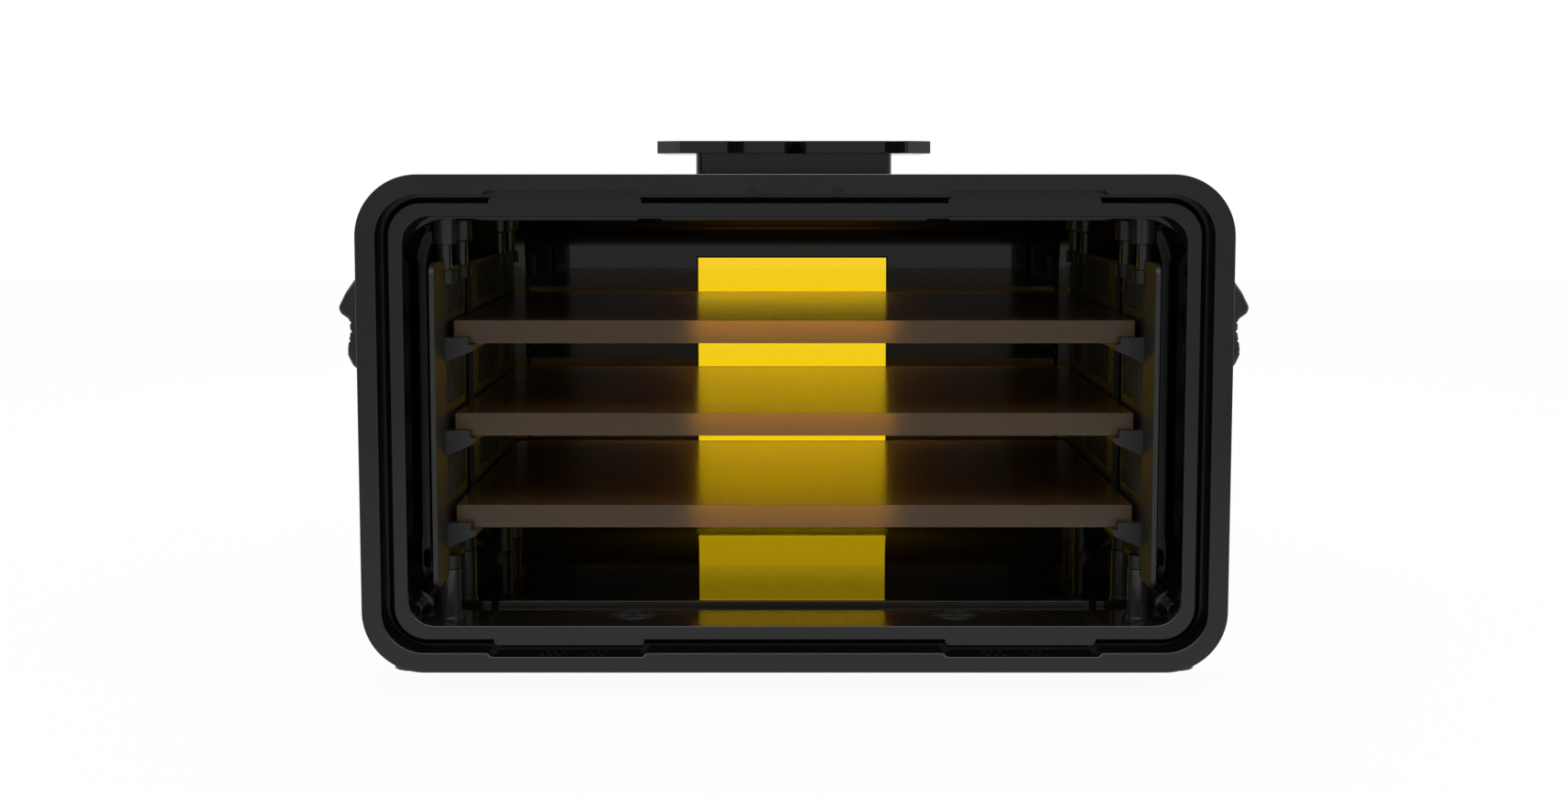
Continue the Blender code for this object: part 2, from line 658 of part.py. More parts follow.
def posts():
    """Studs from the shell's floor and ceiling, with tenons that enter the racks' cups."""
    low_top = CUP_BOTTOM - FIT
    low_tip = low_top + TENON_INSERTION
    high_end = CUP_TOP + TENON_SHOW
    tip = CUP_TOP + FIT - TENON_INSERTION
    room = shell_cavity("room_for_posts", FRAME_DEPTH, inset=FIT)
    lower = [(0, low_tip), (TENON_RADIUS, low_tip), (TENON_RADIUS, low_top),
             (POST_RADIUS - POST_TAPER, low_top), (POST_RADIUS, SHELL_BOTTOM), (0, SHELL_BOTTOM)]
    upper = [(0, SHELL_TOP), (POST_RADIUS, SHELL_TOP), (POST_RADIUS, high_end),
             (TENON_RADIUS, high_end), (TENON_RADIUS, tip), (0, tip)]
    for side, word in SIDES:
        for number, distance in enumerate(FRONT_POSTS + REAR_POSTS, 1):
            centre = (side * POST_SIDE, distance, 0)
            for level, profile in (("lower", lower), ("upper", upper)):
                post = turned(f"{level}_post_{word}_{number}", profile, centre, steps=16)
                combine(post, room, "INTERSECT")
                finish(smooth(post), "satin_black")


def panels():
    for word, shelf in zip(PANEL_NAMES, SHELF_LEVELS):
        low = shelf + FIT
        panel = block(f"{word}_panel", (-PANEL_WIDTH / 2, PANEL_WIDTH / 2),
                      (FRONT_SPACE, FRONT_SPACE + PANEL_DEPTH), (low, low + PANEL_THICKNESS))
        finish(panel, "panel_brown")


def notches():
    """V notches in the flange's front and rear edges, and one in the middle of each side."""
    half = FLANGE_WIDTH / 2
    places = []
    for centre, width in NOTCHES:
        for end in (-1, 1):
            places.append((-end * centre, FLANGE_CENTRE + end * (half + NOTCH_FLARE), width))
    for end in (-1, 1):
        places.append((end * (half + NOTCH_FLARE), FLANGE_CENTRE, NOTCHES[1][1]))
    corners = [(x, y, 0) for x, y, width in places]
    radii = [width / 2 + NOTCH_FLARE for x, y, width in places]
    return [rod(f"flange_notch_{index}", [corner], radius, radius, FLANGE_BOTTOM - FIT,
                FLANGE_BOTTOM + FLANGE_THICKNESS + FIT, sides=4)
            for index, (corner, radius) in enumerate(zip(corners, radii))]


def top_flange():
    half = FLANGE_WIDTH / 2
    y = (FLANGE_CENTRE - half, FLANGE_CENTRE + half)
    flange_top = FLANGE_BOTTOM + FLANGE_THICKNESS
    flange = block("top_flange", (-half, half), y, (FLANGE_BOTTOM, flange_top),
                   radius=FLANGE_CHAMFER, along="Z", segments=1)
    cut(flange, *notches())
    neck_half = NECK_WIDTH / 2
    neck_top = NECK_BOTTOM + NECK_HEIGHT
    neck_y = (FLANGE_CENTRE - neck_half, FLANGE_CENTRE + neck_half)
    neck = block("flange_neck", (-neck_half, neck_half), neck_y, (NECK_BOTTOM, neck_top),
                 radius=NECK_RADIUS, along="Z", segments=3)
    hollow = neck_half - NECK_WALL
    hollow_y = (FLANGE_CENTRE - hollow, FLANGE_CENTRE + hollow)
    cut(neck, block("neck_hollow", (-hollow, hollow), hollow_y, (NECK_BOTTOM - FIT, neck_top - NECK_WALL),
                    radius=NECK_HOLLOW_RADIUS, along="Z", segments=2))
    reach = FLANGE_SCREW_PITCH / 2
    centres = [(x * reach, FLANGE_CENTRE + y * reach, 0) for x in (-1, 1) for y in (-1, 1)]
    head_low = flange_top - SCREW_HEAD_HEIGHT
    foot = head_low - SCREW_LENGTH
    play = SCREW_RADIUS + FIT
    cut(flange, rod("flange_counterbores", centres, SCREW_HEAD_RADIUS + FIT, SCREW_HEAD_RADIUS + FIT,
                    head_low - FIT, flange_top + FIT))
    cut(flange, rod("flange_holes", centres, play, play, FLANGE_BOTTOM - FIT, flange_top, sides=10))
    cut(neck, rod("neck_holes", centres, play, play, foot - FIT, neck_top + FIT, sides=10))
    finish(flange, "satin_black")
    finish(neck, "satin_black")
    for number, centre in enumerate(centres, 1):
        screw_piece(f"flange_screw_{number}", centre, head_low, flange_top - FIT, foot)


def port_centres():
    return [(side * PORT_OFFSET, PORT_DISTANCE, 0) for side in (-1, 1)]


def base():
    x = (-BASE_HALF_WIDTH, BASE_HALF_WIDTH)
    plate = block("base_plate", x, (BASE_FRONT, BASE_REAR), (-BASE_HEIGHT, BASE_TOP),
                  radius=BASE_RADIUS, along="Z", segments=4)
    inner = BASE_HALF_WIDTH - SKIRT
    ceiling = BASE_TOP - BASE_PLATE
    hollow = block("base_hollow", (-inner, inner), (BASE_FRONT + SKIRT, BASE_REAR - SKIRT),
                   (-BASE_HEIGHT - FIT, ceiling), radius=BASE_RADIUS - SKIRT, along="Z", segments=4)
    cut(plate, hollow)
    collar = PORT_COLLAR + FIT
    cut(plate, rod("collar_recesses", port_centres(), collar, collar, BASE_TOP - PORT_COLLAR_HEIGHT - 2 * FIT,
                   BASE_TOP + FIT, sides=24))
    bore = PORT_RADIUS + FIT
    cut(plate, rod("base_port_holes", port_centres(), bore, bore, ceiling - FIT, BASE_TOP, sides=24))
    finish(plate, "satin_black")
    for side, word in SIDES:
        outer = side * (inner - RUNNER_GAP)
        runner = block(f"base_runner_{word}", (outer, outer - side * RUNNER_WIDTH),
                       (BASE_FRONT + RUNNER_END_GAP, BASE_REAR - RUNNER_END_GAP),
                       (-BASE_HEIGHT, ceiling - FIT), radius=RUNNER_RADIUS, along="Z", segments=2)
        finish(runner, "satin_black")
    centre = Vector((0, (COUPLING_FRONT + COUPLING_REAR) / 2))
    places = {"front_left": (-COUPLING_HALF_SPAN, COUPLING_FRONT),
              "front_right": (COUPLING_HALF_SPAN, COUPLING_FRONT),
              "rear": (0.0, COUPLING_REAR)}
    for word, (x_at, y_at) in places.items():
        receptacle(f"coupling_{word}", Vector((x_at, y_at)), centre, ceiling - FIT)


def receptacle(name, at, centre, top):
    """A grooved block under the base plate whose groove points at the pod's centre."""
    heading = math.atan2(centre.y - at.y, centre.x - at.x)
    half = RECEPTACLE_HEIGHT / 2
    long_half = RECEPTACLE_LENGTH / 2
    wide_half = RECEPTACLE_WIDTH / 2
    body = block(name, (-long_half, long_half), (-wide_half, wide_half), (-half, half),
                 radius=RECEPTACLE_RADIUS, along="Z", segments=2)
    side = RECEPTACLE_GROOVE
    groove = block(name + "_groove", (-RECEPTACLE_LENGTH, RECEPTACLE_LENGTH), (-side, side), (-side, side))
    groove.rotation_euler = (math.pi / 4, 0, 0)
    groove.parent = body
    groove.location = (0, 0, RECEPTACLE_GROOVE - half - side * math.sqrt(2))
    body.location = (at.x, at.y, top - half)
    body.rotation_euler = (0, 0, heading)
    cut(body, groove)
    finish(body, "satin_black")


def purge_port(side, word):
    centre = (side * PORT_OFFSET, PORT_DISTANCE, 0)
    foot = PORT_LIFT - BASE_HEIGHT
    collar_top = BASE_TOP - FIT
    collar_low = collar_top - PORT_COLLAR_HEIGHT
    cover_low = CAVITY_FLOOR - COVER_THICKNESS
    filter_top = cover_low - FIT
    filter_low = filter_top - FILTER_THICKNESS
    mouth = COVER_RADIUS + FIT
    filter_seat = filter_low - FIT
    seat_top = foot + SEAT_THICKNESS
    profile = [(PORT_RADIUS, foot), (PORT_RADIUS, collar_low), (PORT_COLLAR, collar_low),
               (PORT_COLLAR, collar_top), (PORT_RADIUS, collar_top), (PORT_RADIUS, CAVITY_FLOOR),
               (mouth, CAVITY_FLOOR), (mouth, filter_seat), (PORT_BORE, filter_seat), (PORT_BORE, seat_top),
               (SEAT_RADIUS, seat_top), (SEAT_RADIUS, foot)]
    housing = turned(f"purge_housing_{word}", profile[::-1], centre)
    guide_reach = PORT_BORE + FIT
    guide = block(f"purge_guide_{word}", (centre[0] - guide_reach, centre[0] + guide_reach),
                  (centre[1] - 2 * STEM_RADIUS, centre[1] + 2 * STEM_RADIUS),
                  (GUIDE_LEVEL, GUIDE_LEVEL + GUIDE_THICKNESS))
    add(housing, guide)
    hole = STEM_RADIUS + STEM_PLAY
    cut(housing, rod(f"guide_hole_{word}", [centre], hole, hole, GUIDE_LEVEL - FIT,
                     GUIDE_LEVEL + GUIDE_THICKNESS + FIT, sides=12))
    finish(smooth(housing), "satin_black")

    cover = rod(f"purge_cover_{word}", [centre], COVER_RADIUS, COVER_RADIUS, cover_low, CAVITY_FLOOR,
                sides=24)
    open_radius = COVER_RADIUS - COVER_RIM
    slots = rod(f"cover_slots_{word}", [centre], open_radius, open_radius,
                cover_low - FIT, CAVITY_FLOOR + FIT, sides=24)
    bar = COVER_BAR / 2
    reach = COVER_RADIUS * 2
    z = (cover_low - 2 * FIT, CAVITY_FLOOR + 2 * FIT)
    for direction, (half_x, half_y) in (("x", (reach, bar)), ("y", (bar, reach))):
        cut(slots, block(f"cover_bar_{direction}_{word}", (centre[0] - half_x, centre[0] + half_x),
                         (centre[1] - half_y, centre[1] + half_y), z))
    cut(cover, slots)
    finish(smooth(cover), "satin_black")

    filter_disc = rod(f"purge_filter_{word}", [centre], COVER_RADIUS, COVER_RADIUS, filter_low, filter_top,
                      sides=24)
    finish(smooth(filter_disc), "membrane")

    head_top = POPPET_LEVEL + POPPET_THICKNESS
    seat = (centre[0], centre[1], POPPET_LEVEL)
    poppet = rod(f"purge_poppet_{word}", [(0, 0, 0)], POPPET_RADIUS, POPPET_RADIUS, 0, POPPET_THICKNESS,
                 sides=24)
    poppet.location = seat
    add(poppet, rod(f"poppet_stem_{word}", [seat], STEM_RADIUS, STEM_RADIUS, POPPET_THICKNESS - FIT,
                    STEM_LENGTH, sides=12))
    finish(smooth(poppet), "satin_black")
    spring(f"purge_spring_{word}", centre, head_top + FIT, GUIDE_LEVEL - FIT)


def spring(name, centre, low, high):
    """A helix of round wire between two levels, on the port's axis."""
    curve = bpy.data.curves.new(name, "CURVE")
    curve.dimensions = "3D"
    curve.bevel_depth = SPRING_WIRE
    curve.bevel_resolution = 1
    curve.use_fill_caps = True
    per_turn = 10
    count = SPRING_TURNS * per_turn + 1
    spline = curve.splines.new("POLY")
    spline.points.add(count - 1)
    rise = high - low - 2 * SPRING_WIRE
    for index, point in enumerate(spline.points):
        angle = 2 * math.pi * index / per_turn
        height = low + SPRING_WIRE + rise * index / (count - 1)
        point.co = (SPRING_RADIUS * math.cos(angle), SPRING_RADIUS * math.sin(angle), height, 1)
    drawn = place(name, curve, centre)
    finish(smooth(curve_to_mesh(drawn)), "steel")


def side_handle(side, word):
    plate_x = (side * (SHELL_SIDE + FIT), side * (SHELL_SIDE + FIT + HANDLE_PLATE))
    y = (HANDLE_FRONT, HANDLE_FRONT + HANDLE_LENGTH)
    mount = block(f"handle_mount_{word}", plate_x, y, (HANDLE_PLATE_BOTTOM, HANDLE_PLATE_TOP),
                  radius=HANDLE_PLATE_RADIUS, along="X", segments=4)
    inner = SHELL_SIDE + 2 * FIT + HANDLE_PLATE
    outermost = SHELL_SIDE + HANDLE_STANDOFF
    section = [(side * (outermost - inset), z) for inset, z in GRIP_SECTION]
    handle = extruded(f"side_handle_{word}", section, *y)
    legs = []
    for start in (y[0], y[1] - HANDLE_LEG):
        x = (side * inner, side * (outermost - HANDLE_LEG_INSET))
        legs.append((x, (start + FIT, start + HANDLE_LEG - FIT), (HANDLE_LEG_BOTTOM, HANDLE_LEG_TOP)))
    add(handle, blocks(f"handle_legs_{word}", legs))
    middle = (HANDLE_PLATE_BOTTOM + HANDLE_PLATE_TOP) / 2
    inset = HANDLE_LEG + SCREW_HEAD_RADIUS * 2
    head_centres = [(0, end, middle) for end in (y[0] + inset, y[1] - inset)]
    hole_x = sorted((plate_x[0] - side * FIT, plate_x[1] + side * FIT))
    hole = SCREW_RADIUS + FIT
    cut(mount, rod(f"mount_holes_{word}", head_centres, hole, hole, *hole_x, along="X", sides=12))
    finish(mount, "satin_black")
    finish(handle, "handle_grey")
    head_low = abs(plate_x[1]) + FIT
    for number, centre in enumerate(head_centres, 1):
        screw_piece(f"handle_screw_{word}_{number}", centre, head_low, head_low + SCREW_HEAD_HEIGHT,
                    abs(plate_x[0]) + FIT, along="X", sign=side)


clear_scene()
parts = make_collection("front_opening_wafer_pod")
cutters = make_collection("cutters")
origin = bpy.data.objects.new("pod_origin", None)
parts.objects.link(origin)
origin.location = (0, -POD_DEPTH / 2, BASE_HEIGHT)

door_frame()
shell()
rear_window()
corner_studs()
for side, word in SIDES:
    front_rack(side, word)
    rear_rack(side, word)
    purge_port(side, word)
    side_handle(side, word)
posts()
panels()
top_flange()
base()
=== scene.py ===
import math
import bmesh
import bpy
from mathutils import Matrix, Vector


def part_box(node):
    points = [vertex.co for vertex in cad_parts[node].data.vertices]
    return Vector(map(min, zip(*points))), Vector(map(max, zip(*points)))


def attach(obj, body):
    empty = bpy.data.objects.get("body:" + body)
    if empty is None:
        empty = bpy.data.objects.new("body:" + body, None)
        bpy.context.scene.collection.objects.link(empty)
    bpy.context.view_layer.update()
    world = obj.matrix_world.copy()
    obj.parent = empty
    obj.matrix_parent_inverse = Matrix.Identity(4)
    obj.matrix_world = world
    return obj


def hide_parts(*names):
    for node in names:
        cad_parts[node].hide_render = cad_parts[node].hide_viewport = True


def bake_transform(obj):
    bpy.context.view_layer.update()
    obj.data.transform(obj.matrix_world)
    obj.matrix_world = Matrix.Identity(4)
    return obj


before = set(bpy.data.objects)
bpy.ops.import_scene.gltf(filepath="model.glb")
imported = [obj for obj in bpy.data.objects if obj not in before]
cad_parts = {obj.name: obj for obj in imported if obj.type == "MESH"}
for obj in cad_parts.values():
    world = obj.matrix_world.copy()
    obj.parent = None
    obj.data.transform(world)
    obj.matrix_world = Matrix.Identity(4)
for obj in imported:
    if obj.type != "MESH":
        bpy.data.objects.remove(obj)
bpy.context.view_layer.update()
print("frame loaded:", len(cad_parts), "nodes")

# Sizes and places are metres, except where a comment says millimetres

studio = {
    "cameraPlace": (-0.00524, -1.24231, 0.25598),
    "cameraPitch": math.radians(84.14),
    "lens": 50.94,              # millimetres
    "sensor": 36,
    "roomStrength": 0.6,        # light that the room gives to dull surfaces
    "backdrop": "#ffffff",
    "frontGrey": 0.48,          # how bright the room behind the camera looks in a polished face
    "frontFade": (-0.3, 0.3),   # heading along Y over which that grey goes to white
    "nearFloor": 0.72,          # the same for the floor right before the pod
    "floorFade": (-1.4, -0.25), # metres along Y over which the floor goes from one to the other
    "skyBright": 2.4,           # the same for the soft box overhead
    "skyFade": (0.35, 0.7),     # heading along Z over which the soft box begins
    "aboveWindow": 0.57,        # what the amber window shows above the backdrop's edge
    "backdropEdge": (0.172, 0.186),
    "darkCard": ((-0.66, -0.75, 0.0), 0.35),    # where it hangs, and how dark it is
    "cardFade": (0.93, 0.97),   # cosines between which the card's edge fades
    "floorColour": "#ffffff",
    "floorGlow": 0.95,          # share of the floor that stays white in the shadow
    "windowGlow": {             # daylight that the amber window lets in
        "place": (0, 0.1794, 0.1160),
        "width": 0.117,
        "height": 0.165,
        "colour": "#f9d10f",
        "watts": 0.6,
    },
    "lamps": [                  # name, place, aim, size, watts
        ("keyLamp", (-0.5, -1.3, 1.5), (0, 0, 0.1), 1.2, 9),
        ("fillLamp", (0.9, -1.0, 1.2), (0, 0, 0.1), 1.2, 5),
        ("backLamp", (0.0, 1.4, 1.3), (0, 0, 0.1), 1.4, 9),
    ],
}


def hexColour(text):
    channels = [int(text[i:i + 2], 16) / 255 for i in (1, 3, 5)]
    linear = [c / 12.92 if c <= 0.04045 else ((c + 0.055) / 1.055) ** 2.4 for c in channels]
    return (*linear, 1.0)


def addNode(tree, kind, sockets=None, **settings):
    node = tree.nodes.new(kind)
    for key, value in settings.items():
        setattr(node, key, value)
    for key, value in (sockets or {}).items():
        if isinstance(value, bpy.types.NodeSocket):
            tree.links.new(value, node.inputs[key])
        else:
            node.inputs[key].default_value = value
    return node


def newMaterial(name, sockets):
    material = bpy.data.materials.new(name)
    material.use_nodes = True
    tree = material.node_tree
    shader = tree.nodes["Principled BSDF"]
    for key, value in sockets.items():
        shader.inputs[key].default_value = value
    return material, tree, shader


# Black plastics differ in polish, grain and tone, so each finish is one row here
mouldedLooks = {
    # name: colour, lighter patches, patch size mm, IOR, smoothest, roughest, grain mm, grain depth mm
    # Shell: polished like a mirror, with a slow faint wave in what it reflects
    "polishedPolycarbonate": ("#191714", "#1d1b17", 60, 1.50, 0.010, 0.020, 30.0, 0.001),
    # Door frame, flange, base plate: an even satin off a fine mould
    "satinPolycarbonate": ("#0b0b0b", "#101010", 40, 1.50, 0.08, 0.13, 0.9, 0.001),
    # Racks: glass fibres just under the skin leave it dull
    "glassFilledNylon": ("#181818", "#1f1f1f", 12, 1.52, 0.42, 0.52, 0.5, 0.002),
    # Posts, covers, couplings: turned from bar, with a soft sheen
    "turnedAcetal": ("#262626", "#2d2d2d", 8, 1.54, 0.20, 0.28, 0.4, 0.001),
    # Grips: soft skin over a hard core, with a fine leathery grain
    "gripElastomer": ("#101010", "#161616", 20, 1.52, 0.22, 0.30, 0.6, 0.004),
    # Bead round the window: dull extruded rubber
    "beadRubber": ("#070707", "#0c0c0c", 6, 1.48, 0.40, 0.55, 0.4, 0.010),
}


def mouldedPlastic(name):
    dark, light, patch, ior, smooth, rough, grain, depth = mouldedLooks[name]
    material, tree, shader = newMaterial(name, {"IOR": ior})
    place = addNode(tree, "ShaderNodeTexCoord").outputs["Object"]
    patches = addNode(tree, "ShaderNodeTexNoise", {"Vector": place, "Scale": 1000 / patch, "Detail": 3.0})
    tone = addNode(tree, "ShaderNodeMix", {"Factor": patches.outputs["Fac"], 6: hexColour(dark),
                                           7: hexColour(light)}, data_type="RGBA")
    tree.links.new(tone.outputs[2], shader.inputs["Base Color"])
    polish = addNode(tree, "ShaderNodeMapRange", {"Value": patches.outputs["Fac"], "To Min": smooth,
                                                  "To Max": rough})
    tree.links.new(polish.outputs["Result"], shader.inputs["Roughness"])
    skin = addNode(tree, "ShaderNodeTexNoise", {"Vector": place, "Scale": 1000 / grain, "Detail": 2.0})
    relief = addNode(tree, "ShaderNodeBump", {"Height": skin.outputs["Fac"], "Strength": 0.35,
                                              "Distance": depth / 1000})
    tree.links.new(relief.outputs["Normal"], shader.inputs["Normal"])
    return material


def amberPolycarbonate():
    # Clear amber sheet, cast flat: the white room behind it shows as an even strong yellow
    return newMaterial("amberPolycarbonate", {
        "Base Color": hexColour("#f9d10f"), "Transmission Weight": 1.0, "Roughness": 0.0, "IOR": 1.5})[0]


def bronzeGlass():
    # Carrier plate of bronze glass with ground faces: a little dust of scatter, mostly clear inside
    material, tree, shader = newMaterial("bronzeGlass", {"IOR": 1.5, "Transmission Weight": 0.91})
    place = addNode(tree, "ShaderNodeTexCoord").outputs["Object"]
    stretched = addNode(tree, "ShaderNodeMapping", {"Vector": place, "Scale": (0.25, 1.0, 1.0)})
    flow = addNode(tree, "ShaderNodeTexNoise", {"Vector": stretched.outputs["Vector"], "Scale": 60.0,
                                                "Detail": 6.0})
    tone = addNode(tree, "ShaderNodeMix", {"Factor": flow.outputs["Fac"], 6: hexColour("#b88f5a"),
                                           7: hexColour("#c29a63")}, data_type="RGBA")
    tree.links.new(tone.outputs[2], shader.inputs["Base Color"])
    polish = addNode(tree, "ShaderNodeMapRange", {"Value": flow.outputs["Fac"], "To Min": 0.19,
                                                  "To Max": 0.24})
    tree.links.new(polish.outputs["Result"], shader.inputs["Roughness"])
    return material


def stainlessSteel():
    # Screws and springs of drawn stainless wire: bright, with a fine grain of 0.4 mm
    material, tree, shader = newMaterial("stainlessSteel", {"Base Color": hexColour("#c6c4bf"),
                                                            "Metallic": 1.0})
    place = addNode(tree, "ShaderNodeTexCoord").outputs["Object"]
    grain = addNode(tree, "ShaderNodeTexNoise", {"Vector": place, "Scale": 2500.0, "Detail": 3.0})
    polish = addNode(tree, "ShaderNodeMapRange", {"Value": grain.outputs["Fac"], "To Min": 0.18,
                                                  "To Max": 0.34})
    tree.links.new(polish.outputs["Result"], shader.inputs["Roughness"])
    return material


def filterMembrane():
    # Carbon-loaded expanded PTFE: dark and chalky, with fibres of a third of a millimetre
    material, tree, shader = newMaterial("filterMembrane", {"Roughness": 0.9})
    place = addNode(tree, "ShaderNodeTexCoord").outputs["Object"]
    fibres = addNode(tree, "ShaderNodeTexNoise", {"Vector": place, "Scale": 3000.0, "Detail": 4.0})
    tone = addNode(tree, "ShaderNodeMix", {"Factor": fibres.outputs["Fac"], 6: hexColour("#1a1b20"),
                                           7: hexColour("#26272d")}, data_type="RGBA")
    tree.links.new(tone.outputs[2], shader.inputs["Base Color"])
    return material


finishes = {name: mouldedPlastic(name) for name in mouldedLooks}
finishes["amberPolycarbonate"] = amberPolycarbonate()
finishes["bronzeGlass"] = bronzeGlass()
finishes["stainlessSteel"] = stainlessSteel()
finishes["filterMembrane"] = filterMembrane()
print("materials made:", len(finishes))


def paint(piece, finish):
    piece.data.materials.clear()
    piece.data.materials.append(finishes[finish])


def onlySelect(piece):
    bpy.ops.object.select_all(action="DESELECT")
    piece.select_set(True)
    bpy.context.view_layer.objects.active = piece


def finishOf(node):
    if node.startswith("purge_filter"):
        return "filterMembrane"
    if node.startswith(("purge_", "coupling")):
        return "turnedAcetal"
    return "satinPolycarbonate"


for name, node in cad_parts.items():
    paint(node, finishOf(name))


smoothAngle = math.radians(32)              # sharper edges than this stay crisp
past = 0.001                                # how far a cut or a joint runs past the face it meets
wellPast = 0.01                             # the same where nothing else is near
tiny = 0.0001                               # places closer than this count as one


def startFrom(kind, name, **settings):
    bpy.ops.object.select_all(action="DESELECT")
    getattr(bpy.ops.mesh, f"primitive_{kind}_add")(**settings)
    piece = bpy.context.object
    piece.name = name
    return piece


def addBlock(name, x, y, z):
    # A block from its lowest and highest place along each axis
    spans = (x, y, z)
    piece = startFrom("cube", name, size=1, location=[sum(span) / 2 for span in spans])
    piece.scale = [abs(high - low) for low, high in spans]
    bpy.ops.object.transform_apply(location=True, rotation=True, scale=True)
    return piece


def pickFaces(piece, rule):
    onlySelect(piece)
    bpy.ops.object.mode_set(mode="EDIT")
    bpy.ops.mesh.select_mode(type="FACE")
    bpy.ops.mesh.select_all(action="DESELECT")
    mesh = bmesh.from_edit_mesh(piece.data)
    for face in mesh.faces:
        face.select_set(rule(face.calc_center_median(), face.normal))
    mesh.select_flush_mode()
    bmesh.update_edit_mesh(piece.data)


def pickEdges(piece, rule):
    onlySelect(piece)
    bpy.ops.object.mode_set(mode="EDIT")
    bpy.ops.mesh.select_mode(type="EDGE")
    bpy.ops.mesh.select_all(action="DESELECT")
    mesh = bmesh.from_edit_mesh(piece.data)
    for edge in mesh.edges:
        edge.select_set(rule(edge.verts[0].co, edge.verts[1].co))
    mesh.select_flush_mode()
    bmesh.update_edit_mesh(piece.data)


def leaveEdit():
    bpy.ops.object.mode_set(mode="OBJECT")


def applied(piece, kind, **settings):
    onlySelect(piece)
    modifier = piece.modifiers.new("step", kind)
    for key, value in settings.items():
        setattr(modifier, key, value)
    bpy.ops.object.modifier_apply(modifier="step")


def cutAway(piece, cutter):
    applied(piece, "BOOLEAN", operation="DIFFERENCE", object=cutter, solver="EXACT")
    bpy.data.objects.remove(cutter)


def unite(piece, other):
    applied(piece, "BOOLEAN", operation="UNION", object=other, solver="EXACT")
    bpy.data.objects.remove(other)


def keepWithin(piece, room):
    applied(piece, "BOOLEAN", operation="INTERSECT", object=room, solver="EXACT")
    bpy.data.objects.remove(room)


def settle(piece, finish, node):
    # Big faces keep their own flat normals, so a polished face mirrors without bending
    onlySelect(piece)
    bpy.ops.object.shade_smooth_by_angle(angle=smoothAngle)
    applied(piece, "WEIGHTED_NORMAL", mode="FACE_AREA", weight=100, keep_sharp=True)
    paint(piece, finish)
    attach(piece, "pod")
    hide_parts(node)


def roundedBlock(name, x, y, z, radius, steps, rearToo=False):
    # A block with its long edges rounded, and those of its rear face too if asked
    piece = addBlock(name, x, y, z)
    rear = max(y) - tiny
    pickEdges(piece, lambda a, b: abs(a.y - b.y) > past or (rearToo and min(a.y, b.y) > rear))
    bpy.ops.mesh.bevel(offset=radius, segments=steps, profile=0.5)
    leaveEdit()
    return piece


def twinOf(piece, name):
    # A copy with a mesh of its own, all selected in edit mode
    twin = bpy.data.objects.new(name, piece.data.copy())
    bpy.context.scene.collection.objects.link(twin)
    onlySelect(twin)
    bpy.ops.object.mode_set(mode="EDIT")
    bpy.ops.mesh.select_all(action="SELECT")
    return twin


def copied(piece, name, shift):
    twin = twinOf(piece, name)
    bpy.ops.transform.translate(value=shift)
    leaveEdit()
    return twin


def mirrored(piece, name):
    # The same piece on the pod's other side
    twin = twinOf(piece, name)
    bpy.ops.transform.resize(value=(-1, 1, 1), center_override=(0, 0, 0))
    bpy.ops.mesh.normals_make_consistent(inside=False)
    leaveEdit()
    return twin


def joined(pieces):
    # Many cutters as one, so that they cut in one step
    bpy.ops.object.select_all(action="DESELECT")
    for piece in pieces:
        piece.select_set(True)
    bpy.context.view_layer.objects.active = pieces[0]
    bpy.ops.object.join()
    return pieces[0]


def brokenEdges(piece, width, steps=2):
    applied(piece, "BEVEL", width=width, segments=steps, limit_method="ANGLE", angle_limit=math.radians(30))


def turnedBar(name, x, y, profile, sides=64):
    # A lathe-turned bar along Z: radius and height of each step from its foot up
    radius, low = profile[0]
    bar = startFrom("cylinder", name, vertices=sides, radius=radius, depth=past,
                    location=(x, y, low + past / 2))
    bpy.ops.object.transform_apply(location=True, rotation=True, scale=True)
    pickFaces(bar, lambda centre, normal: normal.z > 0.9)
    nextRadius, height = profile[1]
    bpy.ops.transform.translate(value=(0, 0, height - low - past))
    bpy.ops.transform.resize(value=(nextRadius / radius,) * 2 + (1,), center_override=(x, y, height))
    for stepRadius, level in profile[2:]:
        bpy.ops.mesh.extrude_region_move(TRANSFORM_OT_translate={"value": (0, 0, level - height)})
        bpy.ops.transform.resize(value=(stepRadius / nextRadius,) * 2 + (1,), center_override=(x, y, level))
        nextRadius, height = stepRadius, level
    leaveEdit()
    return bar


def turnTo(piece, rotation, place):
    # Turns a piece made along Z, and sets it in place
    onlySelect(piece)
    piece.rotation_euler = [math.radians(angle) for angle in rotation]
    piece.location = place
    bpy.ops.object.transform_apply(location=True, rotation=True, scale=True)


# CAD solids whose shape is right, copied with their edges broken as a mould or a cutter leaves them
softened = {
    # node: edge width mm, steps
    "base_plate": (0.60, 2),
    "base_runner_left": (0.60, 2),
    "base_runner_right": (0.60, 2),
    "coupling_front_left": (0.40, 2),
    "coupling_front_right": (0.40, 2),
    "coupling_rear": (0.40, 2),
    "handle_mount_left": (0.50, 3),
    "handle_mount_right": (0.50, 3),
}


def softenEdges(node, width, steps):
    # The solid's loose triangles are merged to whole faces before their edges are broken
    first, *others = node.split("_")
    piece = twinOf(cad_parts[node], first + "".join(word.capitalize() for word in others))
    bpy.ops.mesh.remove_doubles(threshold=0.00001)
    bpy.ops.mesh.dissolve_limited(angle_limit=math.radians(1))
    leaveEdit()
    bpy.ops.object.shade_smooth_by_angle(angle=smoothAngle)
    applied(piece, "BEVEL", width=width / 1000, segments=steps, limit_method="ANGLE", angle_limit=smoothAngle,
            harden_normals=True)
    paint(piece, finishOf(node))
    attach(piece, "pod")
    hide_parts(node)


for node, settings in softened.items():
    softenEdges(node, *settings)
print("edges softened:", len(softened))


